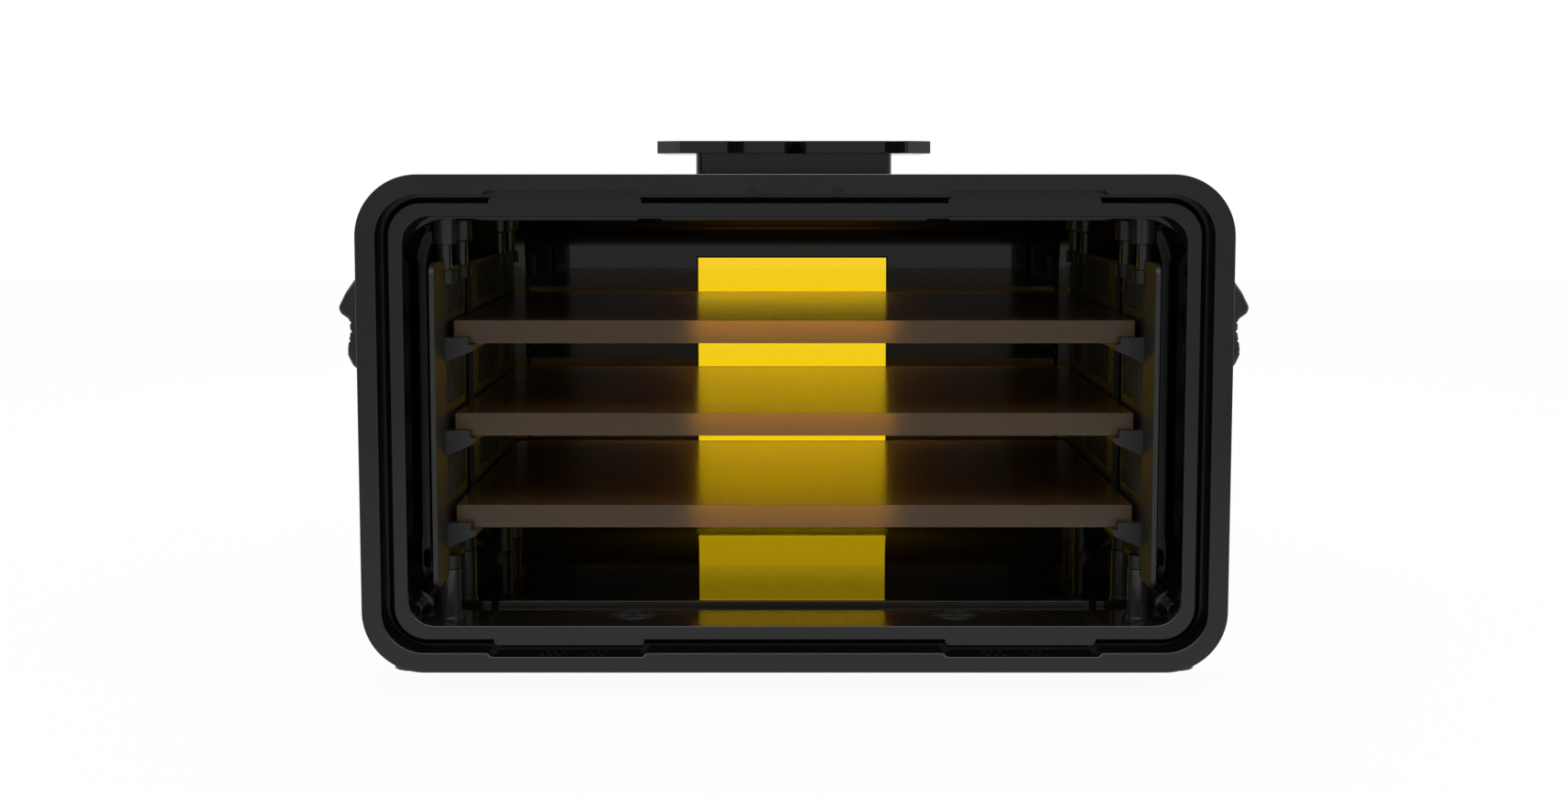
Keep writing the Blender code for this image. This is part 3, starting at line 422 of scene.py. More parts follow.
shellShape = {
    "side": 0.19815, "front": -0.15325, "rear": 0.18355, "low": 0.0224, "high": 0.2360,
    "radius": 0.0285,
    "filletSteps": 18,
    "wall": 0.0035,
    "window": ((-0.061, 0.061), (0.1500, 0.1900), (0.0260, 0.2011)),
    "portPlaces": ((-0.0836, -0.10585), (0.0836, -0.10585)),
    "portRadius": 0.0125,
    "hoopY": (-0.0816, -0.0775),
    "hoopHeight": 0.0027,
    "hoopRound": 0.0006,
    "hoopFoot": 0.0008,                     # undercut along the hoop's foot
    "topBreak": (0.0752, 0.0124),           # middle and width of the hoop's gaps
    "floorBreak": (0.1587, 0.0040),
    "doorFrame": (0.21, 0.013, 0.2542),     # half width, foot and head of the frame that the collar fits
    "collarInset": 0.0030, "collarThickness": 0.0040, "collarRadius": 0.027,
}


def makeShell():
    s = shellShape
    side, wall, steps = s["side"], s["wall"], s["filletSteps"]
    front, rear = s["front"], s["rear"]
    shell = roundedBlock("podShell", (-side, side), (front, rear), (s["low"], s["high"]), s["radius"], steps,
                         True)
    pickFaces(shell, lambda centre, normal: normal.y < -0.9)
    bpy.ops.mesh.delete(type="FACE")
    leaveEdit()
    applied(shell, "SOLIDIFY", thickness=wall, offset=-1.0, use_even_offset=True)
    inner = side - wall
    low, high = s["low"] + wall, s["high"] - wall
    rise, foot = s["hoopHeight"], s["hoopFoot"]
    fillet = s["radius"] - wall
    near, far = s["hoopY"]
    hoop = roundedBlock("hoop", (-inner - past, inner + past), (near, far), (low - past, high + past),
                        fillet + past, steps)
    cutAway(hoop, roundedBlock("hoopHole", (-inner + rise, inner - rise), (near - wellPast, far + wellPast),
                               (low + rise, high - rise), fillet - rise, steps))
    applied(hoop, "BEVEL", width=s["hoopRound"], segments=3, limit_method="ANGLE",
            angle_limit=math.radians(40))
    start, end = near - past, near + foot
    undercut = roundedBlock("undercut", (-inner - 2 * past, inner + 2 * past), (start, end),
                            (low - 2 * past, high + 2 * past), fillet + 2 * past, steps)
    cutAway(undercut, roundedBlock("core", (foot - inner, inner - foot), (start - wellPast, end + wellPast),
                                   (low + foot, high - foot), fillet - foot, steps))
    cutAway(hoop, undercut)
    for sign in (-1, 1):
        for (place, width), z in ((s["topBreak"], (high - 4 * past, high + 2 * past)),
                                  (s["floorBreak"], (low - 2 * past, low + 4 * past))):
            middle = sign * place
            cutAway(hoop, addBlock("gap", (middle - width / 2, middle + width / 2),
                                   (near - wellPast, far + wellPast), z))
    unite(shell, hoop)
    frameHalf, frameFoot, frameHead = s["doorFrame"]
    collarX = frameHalf - s["collarInset"]
    collar = roundedBlock("collar", (-collarX, collarX), (front, front + s["collarThickness"]),
                          (frameFoot + s["collarInset"], frameHead - s["collarInset"]), s["collarRadius"],
                          steps)
    cutAway(collar, roundedBlock("collarHole", (-inner - past, inner + past),
                                 (front - wellPast, front + wellPast), (low - past, high + past),
                                 fillet + past, steps))
    unite(shell, collar)
    cutAway(shell, addBlock("windowCut", *s["window"]))
    for x, y in s["portPlaces"]:
        cutAway(shell, startFrom("cylinder", "port", vertices=48, radius=s["portRadius"], depth=3 * wellPast,
                                 location=(x, y, s["low"])))
    settle(shell, "polishedPolycarbonate", "shell")


makeShell()
print("shell moulded")


def trimToShell(piece):
    # What stands on the shell's rounded walls ends just short of them
    s = shellShape
    wall = s["wall"] + tiny
    side = s["side"] - wall
    keepWithin(piece, roundedBlock("room", (-side, side), (s["front"] - wellPast, s["rear"] - wall),
                                   (s["low"] + wall, s["high"] - wall), s["radius"] - wall,
                                   s["filletSteps"], True))


windowShape = {
    "glassX": (-0.0602, 0.0602), "glassZ": (0.0284, 0.2003),
    "sealX": (-0.0612, 0.0612), "sealZ": (0.0262, 0.2013),
    "depth": (0.1500, 0.1900),
    "glassThickness": 0.0031,
    "lip": 0.0002,                          # how far glass and bead stay under the shell's face
}


def wallSlice(name, x, z, thickness):
    # A stretch of the shell's own rear wall and lower fillet
    s = shellShape
    side, lip, radius, steps = s["side"], windowShape["lip"], s["radius"], s["filletSteps"]
    piece = roundedBlock(name, (lip - side, side - lip), (s["front"], s["rear"] - lip),
                         (s["low"] + lip, s["high"] - lip), radius - lip, steps, True)
    inner = lip + thickness
    cutAway(piece, roundedBlock("hollow", (inner - side, side - inner),
                                (s["front"] - wellPast, s["rear"] - inner),
                                (s["low"] + inner, s["high"] - inner), radius - inner, steps, True))
    keepWithin(piece, addBlock("outline", x, windowShape["depth"], z))
    return piece


def makeWindow():
    w = windowShape
    glass = wallSlice("amberWindow", w["glassX"], w["glassZ"], w["glassThickness"])
    settle(glass, "amberPolycarbonate", "rear_window")
    seal = wallSlice("windowBead", w["sealX"], w["sealZ"], shellShape["wall"])
    cutAway(seal, addBlock("pane", w["glassX"], w["depth"], w["glassZ"]))
    settle(seal, "beadRubber", "window_seal")


makeWindow()
print("window set")


frameShape = {
    "halfWidth": 0.21, "foot": 0.013, "head": 0.2542, "face": -0.18355,
    "depth": 0.030, "radius": 0.030, "steps": 20,
    "recess": (0.0096, 0.0204, 0.0200),                 # inset, radius, depth
    "ledge": (0.0112, 0.0188, 0.0124, 0.0028),          # inset, radius, depth, chamfer
    "opening": (0.0204, 0.0131),                        # inset, radius
    "throat": (0.0159, 0.0176, 0.0159),                 # inset, radius, depth where it begins
    "back": 0.0235,                                     # depth where the shell's mouth begins
    "latchCentre": 0.1107, "latchHalf": 0.0387,
    "pocket": (0.0077, 0.0115, 0.00186),                # nearest and furthest from the frame's edge, chamfer
    "tab": (0.0110, 0.0156, 0.00137), "tabHalf": 0.0368,
    "slot": (0.0047, 0.0096), "slotHalf": 0.0349,
    "slotFronts": (0.0035, 0.0105), "slotWidth": 0.0056,
    # ribs in each slot, from the latch's middle outwards
    "ribs": ((-0.0129, -0.0090, -0.0050, 0.0081, 0.0121, 0.0161),
             (-0.0106, -0.0071, -0.0031, 0.0097, 0.0141, 0.0177)),
    "ribWidth": 0.0019, "ribTop": 0.0068,
    "markX": 0.0211, "markRadius": 0.0031,
    "lip": 0.00035,                                     # fine chamfer round the face's edges
    "sink": 0.0005,                                     # how far ribs, tabs and ledge run into the frame
    "pocketFloor": 0.0003,                              # what the pockets leave of the recess's depth
    "ribDepth": (0.0016, 0.0003),                       # in front of the slot's rear wall, and into it
}


def ringBlock(name, inset, radius, near, far):
    f = frameShape
    x = f["halfWidth"] - inset
    return roundedBlock(name, (-x, x), (f["face"] + near, f["face"] + far),
                        (f["foot"] + inset, f["head"] - inset), radius, f["steps"])


lipWidth = 1.4                  # a chamfer a little wider than its depth leaves no thin rim


def lipBlock(name, inset, radius, at):
    # Cuts a fine chamfer where a ring-shaped cut meets the face at this depth
    size = frameShape["lip"]
    piece = ringBlock(name, inset - size, radius + size, at - wellPast / 2, at + size)
    far = frameShape["face"] + at + size - tiny / 10
    pickEdges(piece, lambda a, b: min(a.y, b.y) > far)
    bpy.ops.mesh.bevel(offset=lipWidth * size, segments=1)
    leaveEdit()
    return piece


def fromEdge(upper, near, far):
    # Heights measured in from the frame's upper or lower edge
    f = frameShape
    return (f["head"] - far, f["head"] - near) if upper else (f["foot"] + near, f["foot"] + far)


def latchBlock(name, centre, half, upper, heights, near, far, chamfer=0, lip=0):
    face = frameShape["face"]
    piece = addBlock(name, (centre - half, centre + half), (face + near, face + far),
                     fromEdge(upper, *heights))
    if chamfer:
        pickEdges(piece, lambda a, b: abs(a.y - b.y) > past)
        bpy.ops.mesh.bevel(offset=chamfer, segments=1)
        leaveEdit()
    if lip:
        pickEdges(piece, lambda a, b: min(a.y, b.y) > face + far - tiny / 10)
        bpy.ops.mesh.bevel(offset=lipWidth * lip, segments=1)
        leaveEdit()
    return piece


def makeDoorFrame():
    f = frameShape
    face, lip, sink = f["face"], f["lip"], f["sink"]
    ring = ringBlock("doorFrame", 0, f["radius"], 0, f["depth"])
    pickEdges(ring, lambda a, b: abs(a.y - b.y) < tiny)
    bpy.ops.mesh.bevel(offset=lip, segments=2)
    leaveEdit()
    inset, radius, depth = f["recess"]
    before, behind = -wellPast / 2, f["depth"] + wellPast / 2
    cutAway(ring, ringBlock("recess", inset, radius, before, depth))
    cutAway(ring, lipBlock("recessLip", inset, radius, 0))
    latches = [(sign * f["latchCentre"], upper) for upper in (False, True) for sign in (-1, 1)]
    near, far, chamfer = f["pocket"]
    for x, upper in latches:
        cutAway(ring, latchBlock("pocket", x, f["latchHalf"], upper, (near, far), before,
                                 depth - f["pocketFloor"], chamfer))
        cutAway(ring, latchBlock("pocketLip", x, f["latchHalf"] + lip, upper, (near - lip, far), before, lip,
                                 chamfer, lip))
    inset, radius, front, chamfer = f["ledge"]
    ledge = ringBlock("ledge", inset, radius, front, depth + sink)
    pickEdges(ledge, lambda a, b: max(a.y, b.y) < face + front + tiny)
    bpy.ops.mesh.bevel(offset=chamfer, segments=1)
    leaveEdit()
    unite(ring, ledge)
    low, high, chamfer = f["tab"]
    for x, upper in latches:
        unite(ring, latchBlock("tab", x, f["tabHalf"], upper, (low, high), front, depth + sink, chamfer))
    ribFront, ribRear = f["ribDepth"]
    for x, upper in latches:
        for start, ribs in zip(f["slotFronts"], f["ribs"]):
            end = start + f["slotWidth"]
            cutAway(ring, latchBlock("slot", x, f["slotHalf"], upper, f["slot"], start, end))
            for offset in ribs:
                place = x + math.copysign(1, -x) * offset
                unite(ring, latchBlock("rib", place, f["ribWidth"] / 2, upper,
                                       (f["slot"][0] - sink, f["ribTop"]), end - ribFront, end + ribRear))
    inset, radius = f["opening"]
    cutAway(ring, ringBlock("opening", inset, radius, 0, behind))
    cutAway(ring, lipBlock("openingLip", inset, radius, front))
    cutAway(ring, ringBlock("throat", *f["throat"], behind))
    s = shellShape
    side, wall = s["side"] - s["wall"], s["wall"]
    cutAway(ring, roundedBlock("shellMouth", (-side, side), (face + f["back"], face + behind),
                               (s["low"] + wall, s["high"] - wall), s["radius"] - wall, f["steps"]))
    for sign in (-1, 1):
        x, z = sign * f["markX"], f["head"] - f["recess"][0]
        cutAway(ring, startFrom("cylinder", "mark", vertices=40, radius=f["markRadius"], depth=2 * front,
                                rotation=(math.radians(90), 0, 0), location=(x, face, z)))
        cutAway(ring, startFrom("cone", "markLip", vertices=40, radius1=f["markRadius"] + 2 * lip,
                                radius2=f["markRadius"] - lip, depth=3 * lip,
                                rotation=(math.radians(-90), 0, 0), location=(x, face + 0.5 * lip, z)))
    settle(ring, "satinPolycarbonate", "door_frame")


makeDoorFrame()
print("door frame moulded")


panelShape = {
    "x": (-0.1721, 0.1721), "y": (-0.12315, 0.14945), "z": (0.07475, 0.0863),
    "rises": (("Middle", 0.0471), ("Top", 0.0942)),
    "edge": 0.0002,
}


def makePanels():
    p = panelShape
    first = addBlock("panelBottom", p["x"], p["y"], p["z"])
    applied(first, "BEVEL", width=p["edge"], segments=2, limit_method="ANGLE")
    others = [(copied(first, "panel" + word, (0, 0, rise)), word) for word, rise in p["rises"]]
    for panel, word in ((first, "Bottom"), *others):
        settle(panel, "bronzeGlass", f"{word.lower()}_panel")


makePanels()
print("panels laid in")


rackShape = {
    "face": 0.1757, "plate": 0.0024, "web": 0.0033,
    "plateY": (-0.16355, -0.12695), "plateZ": (0.0500, 0.2110), "plateRadius": 0.006,
    "webZ": (0.0538, 0.2070),
    "shelves": (0.07445, 0.12155, 0.16865),
    "shelf": (0.0141, 0.0096, 0.0030),          # reach, height at the web, height at the tip
    "stopReach": 0.0118,
    "flute": (0.0058, 0.0020, 0.0082),          # width, depth, pitch
    "scoop": 0.0019, "scoopSteps": 5,
    "fluteRows": ((0.0573, 0.0648), (0.0905, 0.1119), (0.1376, 0.1590), (0.1847, 0.2045)),
    "cupRadius": 0.0056, "cupLevels": ((0.0535, 0.0605), (0.1990, 0.2060)),
    "edge": 0.00035,
    "sink": (0.0012, 0.0011),                   # how far shelves and stops run into the web
    "endReach": 0.0003,                         # shelves stand this far past the web's ends
    # flutes: first one and how many; stops: start, end and rise above the shelf
    "front": {"y": (-0.13105, -0.05755), "flutes": ((-0.12605, 8),), "stops": (-0.13105, -0.12365, 0.0037),
              "cups": (-0.12155, -0.06455)},
    "rear": {"y": (-0.02755, 0.16045), "flutes": ((-0.00755, 10), (0.10445, 4)),
             "stops": (0.14975, 0.15715, 0.0058), "cups": (0.09445, 0.14345)},
}


def makeRack(name, own, withPlate):
    r = rackShape
    face = r["face"]
    rack = addBlock(name, (face, face + r["web"]), own["y"], r["webZ"])
    brokenEdges(rack, r["edge"])
    if withPlate:
        plate = addBlock("plate", (face - tiny, face + r["plate"]), r["plateY"], r["plateZ"])
        pickEdges(plate, lambda a, b: abs(a.x - b.x) > past)
        bpy.ops.mesh.bevel(offset=r["plateRadius"], segments=8)
        leaveEdit()
        brokenEdges(plate, r["edge"])
        unite(rack, plate)
    width, depth, pitch = r["flute"]
    flutes = []
    for low, high in r["fluteRows"][0 if withPlate else 1:]:
        for start, count in own["flutes"]:
            flute = addBlock("flute", (face - past, face + depth), (start, start + width), (low, high))
            pickEdges(flute, lambda a, b: min(a.x, b.x) > face + depth - tiny and max(a.z, b.z) < low + tiny)
            bpy.ops.mesh.bevel(offset=r["scoop"], segments=r["scoopSteps"])
            leaveEdit()
            flutes += [flute] + [copied(flute, "flute", (0, step * pitch, 0)) for step in range(1, count)]
    cutAway(rack, joined(flutes))
    reach, root, tip = r["shelf"]
    start, end, rise = own["stops"]
    shelfSink, stopSink = r["sink"]
    for top in r["shelves"]:
        shelf = addBlock("shelf", (face - reach, face + shelfSink),
                         (own["y"][0] - r["endReach"], own["y"][1] + r["endReach"]), (top - root, top))
        tipX, rootZ = face - reach + tiny, top - root + tiny
        pickEdges(shelf, lambda a, b: max(a.x, b.x) < tipX and max(a.z, b.z) < rootZ)
        bpy.ops.transform.translate(value=(0, 0, root - tip))
        leaveEdit()
        brokenEdges(shelf, r["edge"])
        unite(rack, shelf)
        stop = addBlock("stop", (face - r["stopReach"], face + stopSink), (start, end),
                        (top - tip / 2, top + rise))
        brokenEdges(stop, r["edge"])
        unite(rack, stop)
    for place in own["cups"]:
        for low, high in r["cupLevels"]:
            cup = turnedBar("cup", postShape["x"], place, [(r["cupRadius"], low), (r["cupRadius"], high)], 48)
            brokenEdges(cup, r["edge"])
            unite(rack, cup)
    return rack


postShape = {
    "x": 0.1765, "places": (-0.12155, -0.06455, 0.09445, 0.14345),
    # radius and height of each step from the foot up
    "lower": [(0.0066, 0.0215), (0.0066, 0.0285), (0.0060, 0.0285), (0.0060, 0.0532), (0.0037, 0.0532),
              (0.0037, 0.0580)],
    "upper": [(0.0037, 0.2030), (0.0037, 0.2190), (0.0061, 0.2190), (0.0061, 0.2350)],
    "edge": 0.0006,
}


def makeRacksAndPosts():
    for place, withPlate in (("front", True), ("rear", False)):
        right = makeRack(place + "RackRight", rackShape[place], withPlate)
        left = mirrored(right, place + "RackLeft")
        for rack, side in ((left, "left"), (right, "right")):
            settle(rack, "glassFilledNylon", f"{place}_rack_{side}")
    p = postShape
    for level in ("lower", "upper"):
        first = turnedBar(level + "PostRight1", p["x"], p["places"][0], p[level])
        brokenEdges(first, p["edge"], 3)
        trimToShell(first)
        for number, place in enumerate(p["places"], 1):
            post = first
            if number > 1:
                post = copied(first, f"{level}PostRight{number}", (0, place - p["places"][0], 0))
            for piece, side in ((post, "right"), (mirrored(post, f"{level}PostLeft{number}"), "left")):
                settle(piece, "turnedAcetal", f"{level}_post_{side}_{number}")


makeRacksAndPosts()
print("racks and posts set")


studShape = {
    "place": (0.1878, -0.0819, 0.0394),         # foot of the stud, which points to the front
    "profile": [(0.0032, 0.0), (0.0032, 0.0600), (0.0069, 0.0600), (0.0069, 0.0655), (0.0032, 0.0655),
                (0.0032, 0.0777), (0.0022, 0.0777), (0.0022, 0.0771), (0.0010, 0.0771)],
    "edge": 0.0003,
}


def makeStuds():
    stud = turnedBar("cornerStudRight", 0, 0, studShape["profile"], 48)
    brokenEdges(stud, studShape["edge"])
    turnTo(stud, (90, 0, 0), studShape["place"])
    trimToShell(stud)
    for piece, side in ((stud, "right"), (mirrored(stud, "cornerStudLeft"), "left")):
        settle(piece, "satinPolycarbonate", f"corner_stud_{side}")


makeStuds()


flangeShape = {
    "half": 0.07275, "middleY": 0.0072, "z": (0.2649, 0.2715), "chamfer": 0.0128,
    "notches": ((-0.0310, 0.0096), (0.0008, 0.0123), (0.0535, 0.0118)),    # middle, width
    "flare": 0.0010,                            # notches start this far outside the flange's edge
    "leadIn": (0.0072, 0.0010, 0.0058, 0.0052),  # radius below, above, height, distance in from the edge
    "leadInDrop": 0.0002,                       # how far the lead-in's cone starts below the flange
    "screwReach": 0.0410, "boreRadius": 0.0053, "boreDepth": 0.0038,
    "neckHalf": 0.0525, "neckZ": (0.2357, 0.2652), "neckRadius": 0.0040, "neckSteps": 10,
    "edge": 0.0005,
}


def makeFlange():
    f = flangeShape
    half, middle = f["half"], f["middleY"]
    low, high = f["z"]
    flange = addBlock("roboticFlange", (-half, half), (middle - half, middle + half), f["z"])
    pickEdges(flange, lambda a, b: abs(a.z - b.z) > past)
    bpy.ops.mesh.bevel(offset=f["chamfer"], segments=1)
    leaveEdit()
    outside = half + f["flare"]
    places = [(-end * x, middle + end * outside, width) for x, width in f["notches"] for end in (-1, 1)]
    places += [(end * outside, middle, f["notches"][1][1]) for end in (-1, 1)]
    for x, y, width in places:
        cutAway(flange, startFrom("cylinder", "notch", vertices=4, radius=width / 2 + f["flare"],
                                  depth=4 * (high - low), location=(x, y, high)))
    brokenEdges(flange, f["edge"])
    below, above, height, inset = f["leadIn"]
    cutAway(flange, startFrom("cone", "leadIn", vertices=64, radius1=below, radius2=above, depth=height,
                              location=(f["notches"][1][0], middle - half + inset,
                                        low + height / 2 - f["leadInDrop"])))
    radius, depth = f["boreRadius"], f["boreDepth"]
    for x in (-1, 1):
        for y in (-1, 1):
            cutAway(flange, turnedBar("bore", x * f["screwReach"], middle + y * f["screwReach"],
                                      [(radius, high - depth), (radius, high + past)]))
    settle(flange, "satinPolycarbonate", "top_flange")
    neckHalf = f["neckHalf"]
    neck = addBlock("flangeNeck", (-neckHalf, neckHalf), (middle - neckHalf, middle + neckHalf), f["neckZ"])
    pickEdges(neck, lambda a, b: abs(a.z - b.z) > past)
    bpy.ops.mesh.bevel(offset=f["neckRadius"], segments=f["neckSteps"])
    leaveEdit()
    settle(neck, "satinPolycarbonate", "flange_neck")


makeFlange()


screwShape = {
    "shank": 0.0023, "shankLength": 0.0115, "head": 0.0048, "headHeight": 0.0035,
    "socket": 0.0029, "socketDepth": 0.0020,
    "edge": 0.0003,
    "flangeTop": 0.2712,                        # height of the flange screws' heads
    "handleFoot": 0.19885, "handleY": (-0.03755, 0.04045), "handleZ": 0.1730, "handleShank": 0.0028,
}


def makeScrew(name, shankLength):
    # Socket screw that stands on the foot of its shank
    w = screwShape
    top = shankLength + w["headHeight"]
    screw = turnedBar(name, 0, 0, [(w["shank"], 0), (w["shank"], shankLength), (w["head"], shankLength),
                                   (w["head"], top)], 48)
    brokenEdges(screw, w["edge"])
    cutAway(screw, turnedBar("hexagon", 0, 0, [(w["socket"], top - w["socketDepth"]),
                                               (w["socket"], top + past)], 6))
    return screw


def makeScrews():
    w, f = screwShape, flangeShape
    number = 0
    for x in (-1, 1):
        for y in (-1, 1):
            number += 1
            screw = makeScrew(f"flangeScrew{number}", w["shankLength"])
            turnTo(screw, (0, 0, 0), (x * f["screwReach"], f["middleY"] + y * f["screwReach"],
                                      w["flangeTop"] - w["shankLength"] - w["headHeight"]))
            settle(screw, "stainlessSteel", f"flange_screw_{number}")
    for number, y in enumerate(w["handleY"], 1):
        screw = makeScrew(f"handleScrewRight{number}", w["handleShank"])
        turnTo(screw, (0, 90, 0), (w["handleFoot"], y, w["handleZ"]))
        for piece, side in ((screw, "right"), (mirrored(screw, f"handleScrewLeft{number}"), "left")):
            settle(piece, "stainlessSteel", f"handle_screw_{side}_{number}")


makeScrews()
print("flange and screws set")


coverShape = {
    "place": (0.0836, -0.10585), "radius": 0.0102, "rim": 0.0018, "bar": 0.0018, "z": (0.0245, 0.0262),
    "edge": 0.0003,
}


def makePurgeCovers():
    c = coverShape
    x, y = c["place"]
    low, high = c["z"]
    cover = turnedBar("purgeCoverRight", x, y, [(c["radius"], low), (c["radius"], high)])
    opening = c["radius"] - c["rim"]
    windows = turnedBar("quarters", x, y, [(opening, low - past), (opening, high + past)])
    length = 3 * wellPast
    for halfX, halfY in ((length, c["bar"] / 2), (c["bar"] / 2, length)):
        cutAway(windows, addBlock("bar", (x - halfX, x + halfX), (y - halfY, y + halfY),
                                  (low - 2 * past, high + 2 * past)))
    cutAway(cover, windows)
    brokenEdges(cover, c["edge"])
    for piece, side in ((cover, "right"), (mirrored(cover, "purgeCoverLeft"), "left")):
        settle(piece, "turnedAcetal", f"purge_cover_{side}")


makePurgeCovers()


springShape = {
    "wire": 0.0005, "radius": 0.0042, "turns": 4, "sides": 10, "stepsPerTurn": 24,
    "smoothAngle": math.radians(50),
}


def makeSprings():
    # The coil's foot sits on the poppet's head, and its top stays in the housing
    s = springShape
    x, y = coverShape["place"]
    low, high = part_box("purge_spring_right")
    foot, top = low[2], high[2]
    coil = startFrom("circle", "purgeSpringRight", vertices=s["sides"], radius=s["wire"],
                     rotation=(math.radians(90), 0, 0), location=(s["radius"], 0, foot + s["wire"]))
    bpy.ops.object.transform_apply(location=True, rotation=True, scale=True)
    applied(coil, "SCREW", axis="Z", angle=math.radians(360), iterations=s["turns"], steps=s["stepsPerTurn"],
            render_steps=s["stepsPerTurn"], screw_offset=(top - foot - 2 * s["wire"]) / s["turns"])
    bpy.ops.object.mode_set(mode="EDIT")
    bpy.ops.mesh.select_all(action="SELECT")
    bpy.ops.mesh.fill_holes(sides=s["sides"])
    bpy.ops.mesh.select_all(action="SELECT")
    bpy.ops.mesh.normals_make_consistent(inside=False)
    bpy.ops.transform.translate(value=(x, y, 0))
    leaveEdit()
    other = copied(coil, "purgeSpringLeft", (-2 * x, 0, 0))
    for piece, side, at in ((other, "left", -x), (coil, "right", x)):
        onlySelect(piece)
        bpy.ops.object.shade_smooth_by_angle(angle=s["smoothAngle"])
        paint(piece, "stainlessSteel")
        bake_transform(piece)
        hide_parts(f"purge_spring_{side}")


makeSprings()


gripShape = {
    "outermost": 0.24255, "y": (-0.06355, 0.06645),
    # distance in from the grip's outermost point, height
    "section": ((0.0150, 0.2015), (0.0090, 0.1985), (0.0040, 0.1915), (0.0000, 0.1835), (0.0010, 0.1802),
                (0.0056, 0.1770), (0.0060, 0.1700), (0.0047, 0.1630), (0.0043, 0.1585), (0.0070, 0.1525),
                (0.0125, 0.1475), (0.0150, 0.1490), (0.0135, 0.1610), (0.0130, 0.1780), (0.0138, 0.1910)),
    "softness": 0.0012, "endRound": 0.0022,
    "grooves": ((0.0058, 0.1752), (0.0061, 0.1706), (0.0052, 0.1655), (0.0041, 0.1596)),
    "grooveRadius": 0.0011,
    "legLength": 0.0160, "legX": (0.20175, 0.2305), "legZ": (0.1560, 0.1910), "legRound": 0.0015,
    "legInset": 0.0003,
}


def makeGrips():
    g = gripShape
    front, rear = g["y"]
    grip = startFrom("circle", "sideGripRight", vertices=len(g["section"]), radius=wellPast, fill_type="NGON",
                     location=(g["outermost"], front, g["legZ"][0]), rotation=(math.radians(90), 0, 0))
    bpy.ops.object.transform_apply(location=True, rotation=True, scale=True)
    for corner, (inset, height) in zip(grip.data.vertices, g["section"]):
        corner.co = (g["outermost"] - inset, front, height)
    onlySelect(grip)
    bpy.ops.object.mode_set(mode="EDIT")
    bpy.ops.mesh.select_all(action="SELECT")
    bpy.ops.mesh.extrude_region_move(TRANSFORM_OT_translate={"value": (0, rear - front, 0)})
    bpy.ops.mesh.select_all(action="SELECT")
    bpy.ops.mesh.normals_make_consistent(inside=False)
    leaveEdit()
    pickEdges(grip, lambda a, b: abs(a.y - b.y) > wellPast)
    bpy.ops.mesh.bevel(offset=g["softness"], segments=3)
    leaveEdit()
    pickEdges(grip, lambda a, b: abs(a.y - b.y) < past)
    bpy.ops.mesh.bevel(offset=g["endRound"], segments=5)
    leaveEdit()
    for inset, height in g["grooves"]:
        cutAway(grip, startFrom("cylinder", "groove", vertices=4, radius=g["grooveRadius"],
                                depth=2 * (rear - front), rotation=(math.radians(90), 0, 0),
                                location=(g["outermost"] - inset, 0, height)))
    for start in (front + g["legInset"], rear - g["legLength"] + g["legInset"]):
        leg = addBlock("leg", g["legX"], (start, start + g["legLength"] - 2 * g["legInset"]), g["legZ"])
        brokenEdges(leg, g["legRound"], 3)
        unite(grip, leg)
    for piece, side in ((grip, "right"), (mirrored(grip, "sideGripLeft"), "left")):
        settle(piece, "gripElastomer", f"side_handle_{side}")


makeGrips()
print("covers and grips set")


def makeFloor():
    # White to the camera and through glass, and darker towards the front in what a polished face mirrors
    floor = startFrom("plane", "studioFloor", size=8, location=(0, 0, 0))
    material = bpy.data.materials.new("paleStudioFloor")
    material.use_nodes = True
    tree = material.node_tree
    tree.nodes.clear()
    backdrop = hexColour(studio["backdrop"])
    rays = addNode(tree, "ShaderNodeLightPath").outputs
    dull = addNode(tree, "ShaderNodeBsdfDiffuse", {"Color": hexColour(studio["floorColour"])})
    white = addNode(tree, "ShaderNodeEmission", {"Color": backdrop})
    spot = addNode(tree, "ShaderNodeSeparateXYZ", {0: addNode(tree, "ShaderNodeTexCoord").outputs["Object"]})
    start, end = studio["floorFade"]
    fade = addNode(tree, "ShaderNodeMapRange", {
        "Value": spot.outputs["Y"], "From Min": start, "From Max": end, "To Min": studio["frontGrey"],
        "To Max": studio["nearFloor"]})
    reflected = addNode(tree, "ShaderNodeEmission", {"Color": backdrop, "Strength": fade.outputs["Result"]})
    seen = addNode(tree, "ShaderNodeMath", {0: rays["Is Camera Ray"], 1: studio["floorGlow"]},
                   operation="MULTIPLY")
    share = addNode(tree, "ShaderNodeMath", {0: seen.outputs[0], 1: rays["Is Transmission Ray"]},
                    operation="MAXIMUM")
    lit = addNode(tree, "ShaderNodeMixShader", {0: rays["Is Glossy Ray"], 1: dull.outputs["BSDF"],
                                                2: reflected.outputs["Emission"]})
    mixed = addNode(tree, "ShaderNodeMixShader", {0: share.outputs[0], 1: lit.outputs["Shader"],
                                                  2: white.outputs["Emission"]})
    addNode(tree, "ShaderNodeOutputMaterial", {"Surface": mixed.outputs["Shader"]})
    floor.data.materials.append(material)


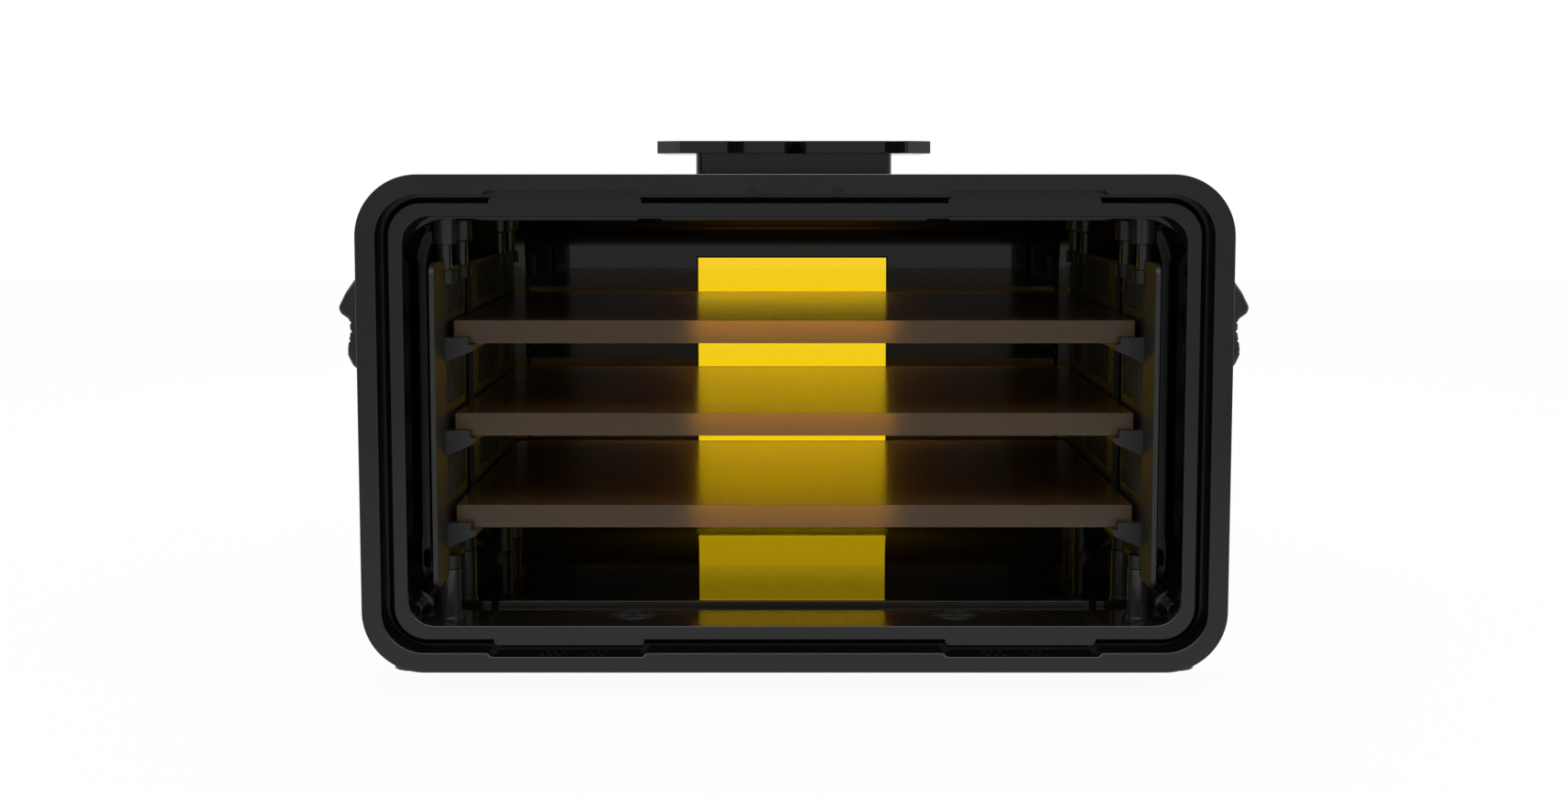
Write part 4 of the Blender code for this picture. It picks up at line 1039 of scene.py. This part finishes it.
def makeRoom():
    # White backdrop, and what a polished face mirrors: a grey front, a soft box overhead and a dark card
    world = bpy.data.worlds.new("softRoom")
    bpy.context.scene.world = world
    world.use_nodes = True
    tree = world.node_tree
    tree.nodes.clear()
    backdrop = hexColour(studio["backdrop"])
    rays = addNode(tree, "ShaderNodeLightPath").outputs
    room = addNode(tree, "ShaderNodeBackground", {"Color": backdrop, "Strength": studio["roomStrength"]})
    way = addNode(tree, "ShaderNodeTexCoord").outputs["Generated"]
    heading = addNode(tree, "ShaderNodeSeparateXYZ", {0: way}).outputs
    start, end = studio["backdropEdge"]
    edge = addNode(tree, "ShaderNodeMapRange", {"Value": heading["Z"], "From Min": start, "From Max": end,
                                                "To Min": 1.0, "To Max": studio["aboveWindow"]})
    through = addNode(tree, "ShaderNodeMix", {0: rays["Is Camera Ray"], 2: edge.outputs["Result"], 3: 1.0})
    white = addNode(tree, "ShaderNodeBackground", {"Color": backdrop, "Strength": through.outputs[0]})
    start, end = studio["frontFade"]
    depth = addNode(tree, "ShaderNodeMapRange", {"Value": heading["Y"], "From Min": start, "From Max": end,
                                                 "To Min": studio["frontGrey"], "To Max": 1.0})
    start, end = studio["skyFade"]
    overhead = addNode(tree, "ShaderNodeMapRange", {"Value": heading["Z"], "From Min": start, "From Max": end,
                                                    "To Min": 0.0, "To Max": studio["skyBright"]})
    towards, tone = studio["darkCard"]
    start, end = studio["cardFade"]
    facing = addNode(tree, "ShaderNodeVectorMath", {0: way, 1: towards}, operation="DOT_PRODUCT")
    card = addNode(tree, "ShaderNodeMapRange", {"Value": facing.outputs["Value"], "From Min": start,
                                                "From Max": end, "To Min": 1.0, "To Max": tone})
    level = addNode(tree, "ShaderNodeMath", {0: depth.outputs["Result"], 1: card.outputs["Result"]},
                    operation="MULTIPLY")
    level = addNode(tree, "ShaderNodeMath", {0: level.outputs[0], 1: overhead.outputs["Result"]},
                    operation="ADD")
    reflected = addNode(tree, "ShaderNodeBackground", {"Color": backdrop, "Strength": level.outputs[0]})
    seen = addNode(tree, "ShaderNodeMath", {0: rays["Is Camera Ray"], 1: rays["Is Transmission Ray"]},
                   operation="MAXIMUM")
    lit = addNode(tree, "ShaderNodeMixShader", {0: rays["Is Glossy Ray"], 1: room.outputs["Background"],
                                                2: reflected.outputs["Background"]})
    mixed = addNode(tree, "ShaderNodeMixShader", {0: seen.outputs[0], 1: lit.outputs["Shader"],
                                                  2: white.outputs["Background"]})
    addNode(tree, "ShaderNodeOutputWorld", {"Surface": mixed.outputs["Shader"]})


def makeLights():
    for name, place, aim, size, watts in studio["lamps"]:
        bpy.ops.object.light_add(type="AREA", location=place)
        lamp = bpy.context.object
        lamp.name = name
        lamp.data.size = size
        lamp.data.energy = watts
        lamp.visible_glossy = False
        lamp.rotation_euler = (Vector(aim) - Vector(place)).to_track_quat("-Z", "Y").to_euler()

    window = studio["windowGlow"]
    bpy.ops.object.light_add(type="AREA", location=window["place"], rotation=(math.radians(-90), 0, 0))
    glow = bpy.context.object
    glow.name = "windowGlow"
    glow.data.shape = "RECTANGLE"
    glow.data.size = window["width"]
    glow.data.size_y = window["height"]
    glow.data.color = hexColour(window["colour"])[:3]
    glow.data.energy = window["watts"]
    glow.visible_camera = False
    glow.visible_glossy = False
    glow.visible_transmission = False


def makeCamera():
    bpy.ops.object.camera_add(location=studio["cameraPlace"], rotation=(studio["cameraPitch"], 0, 0))
    camera = bpy.context.object
    camera.data.lens = studio["lens"]
    camera.data.sensor_width = studio["sensor"]
    bpy.context.scene.camera = camera
    bpy.context.scene.view_settings.view_transform = "Standard"


makeFloor()
makeRoom()
makeLights()
makeCamera()
print("studio ready")
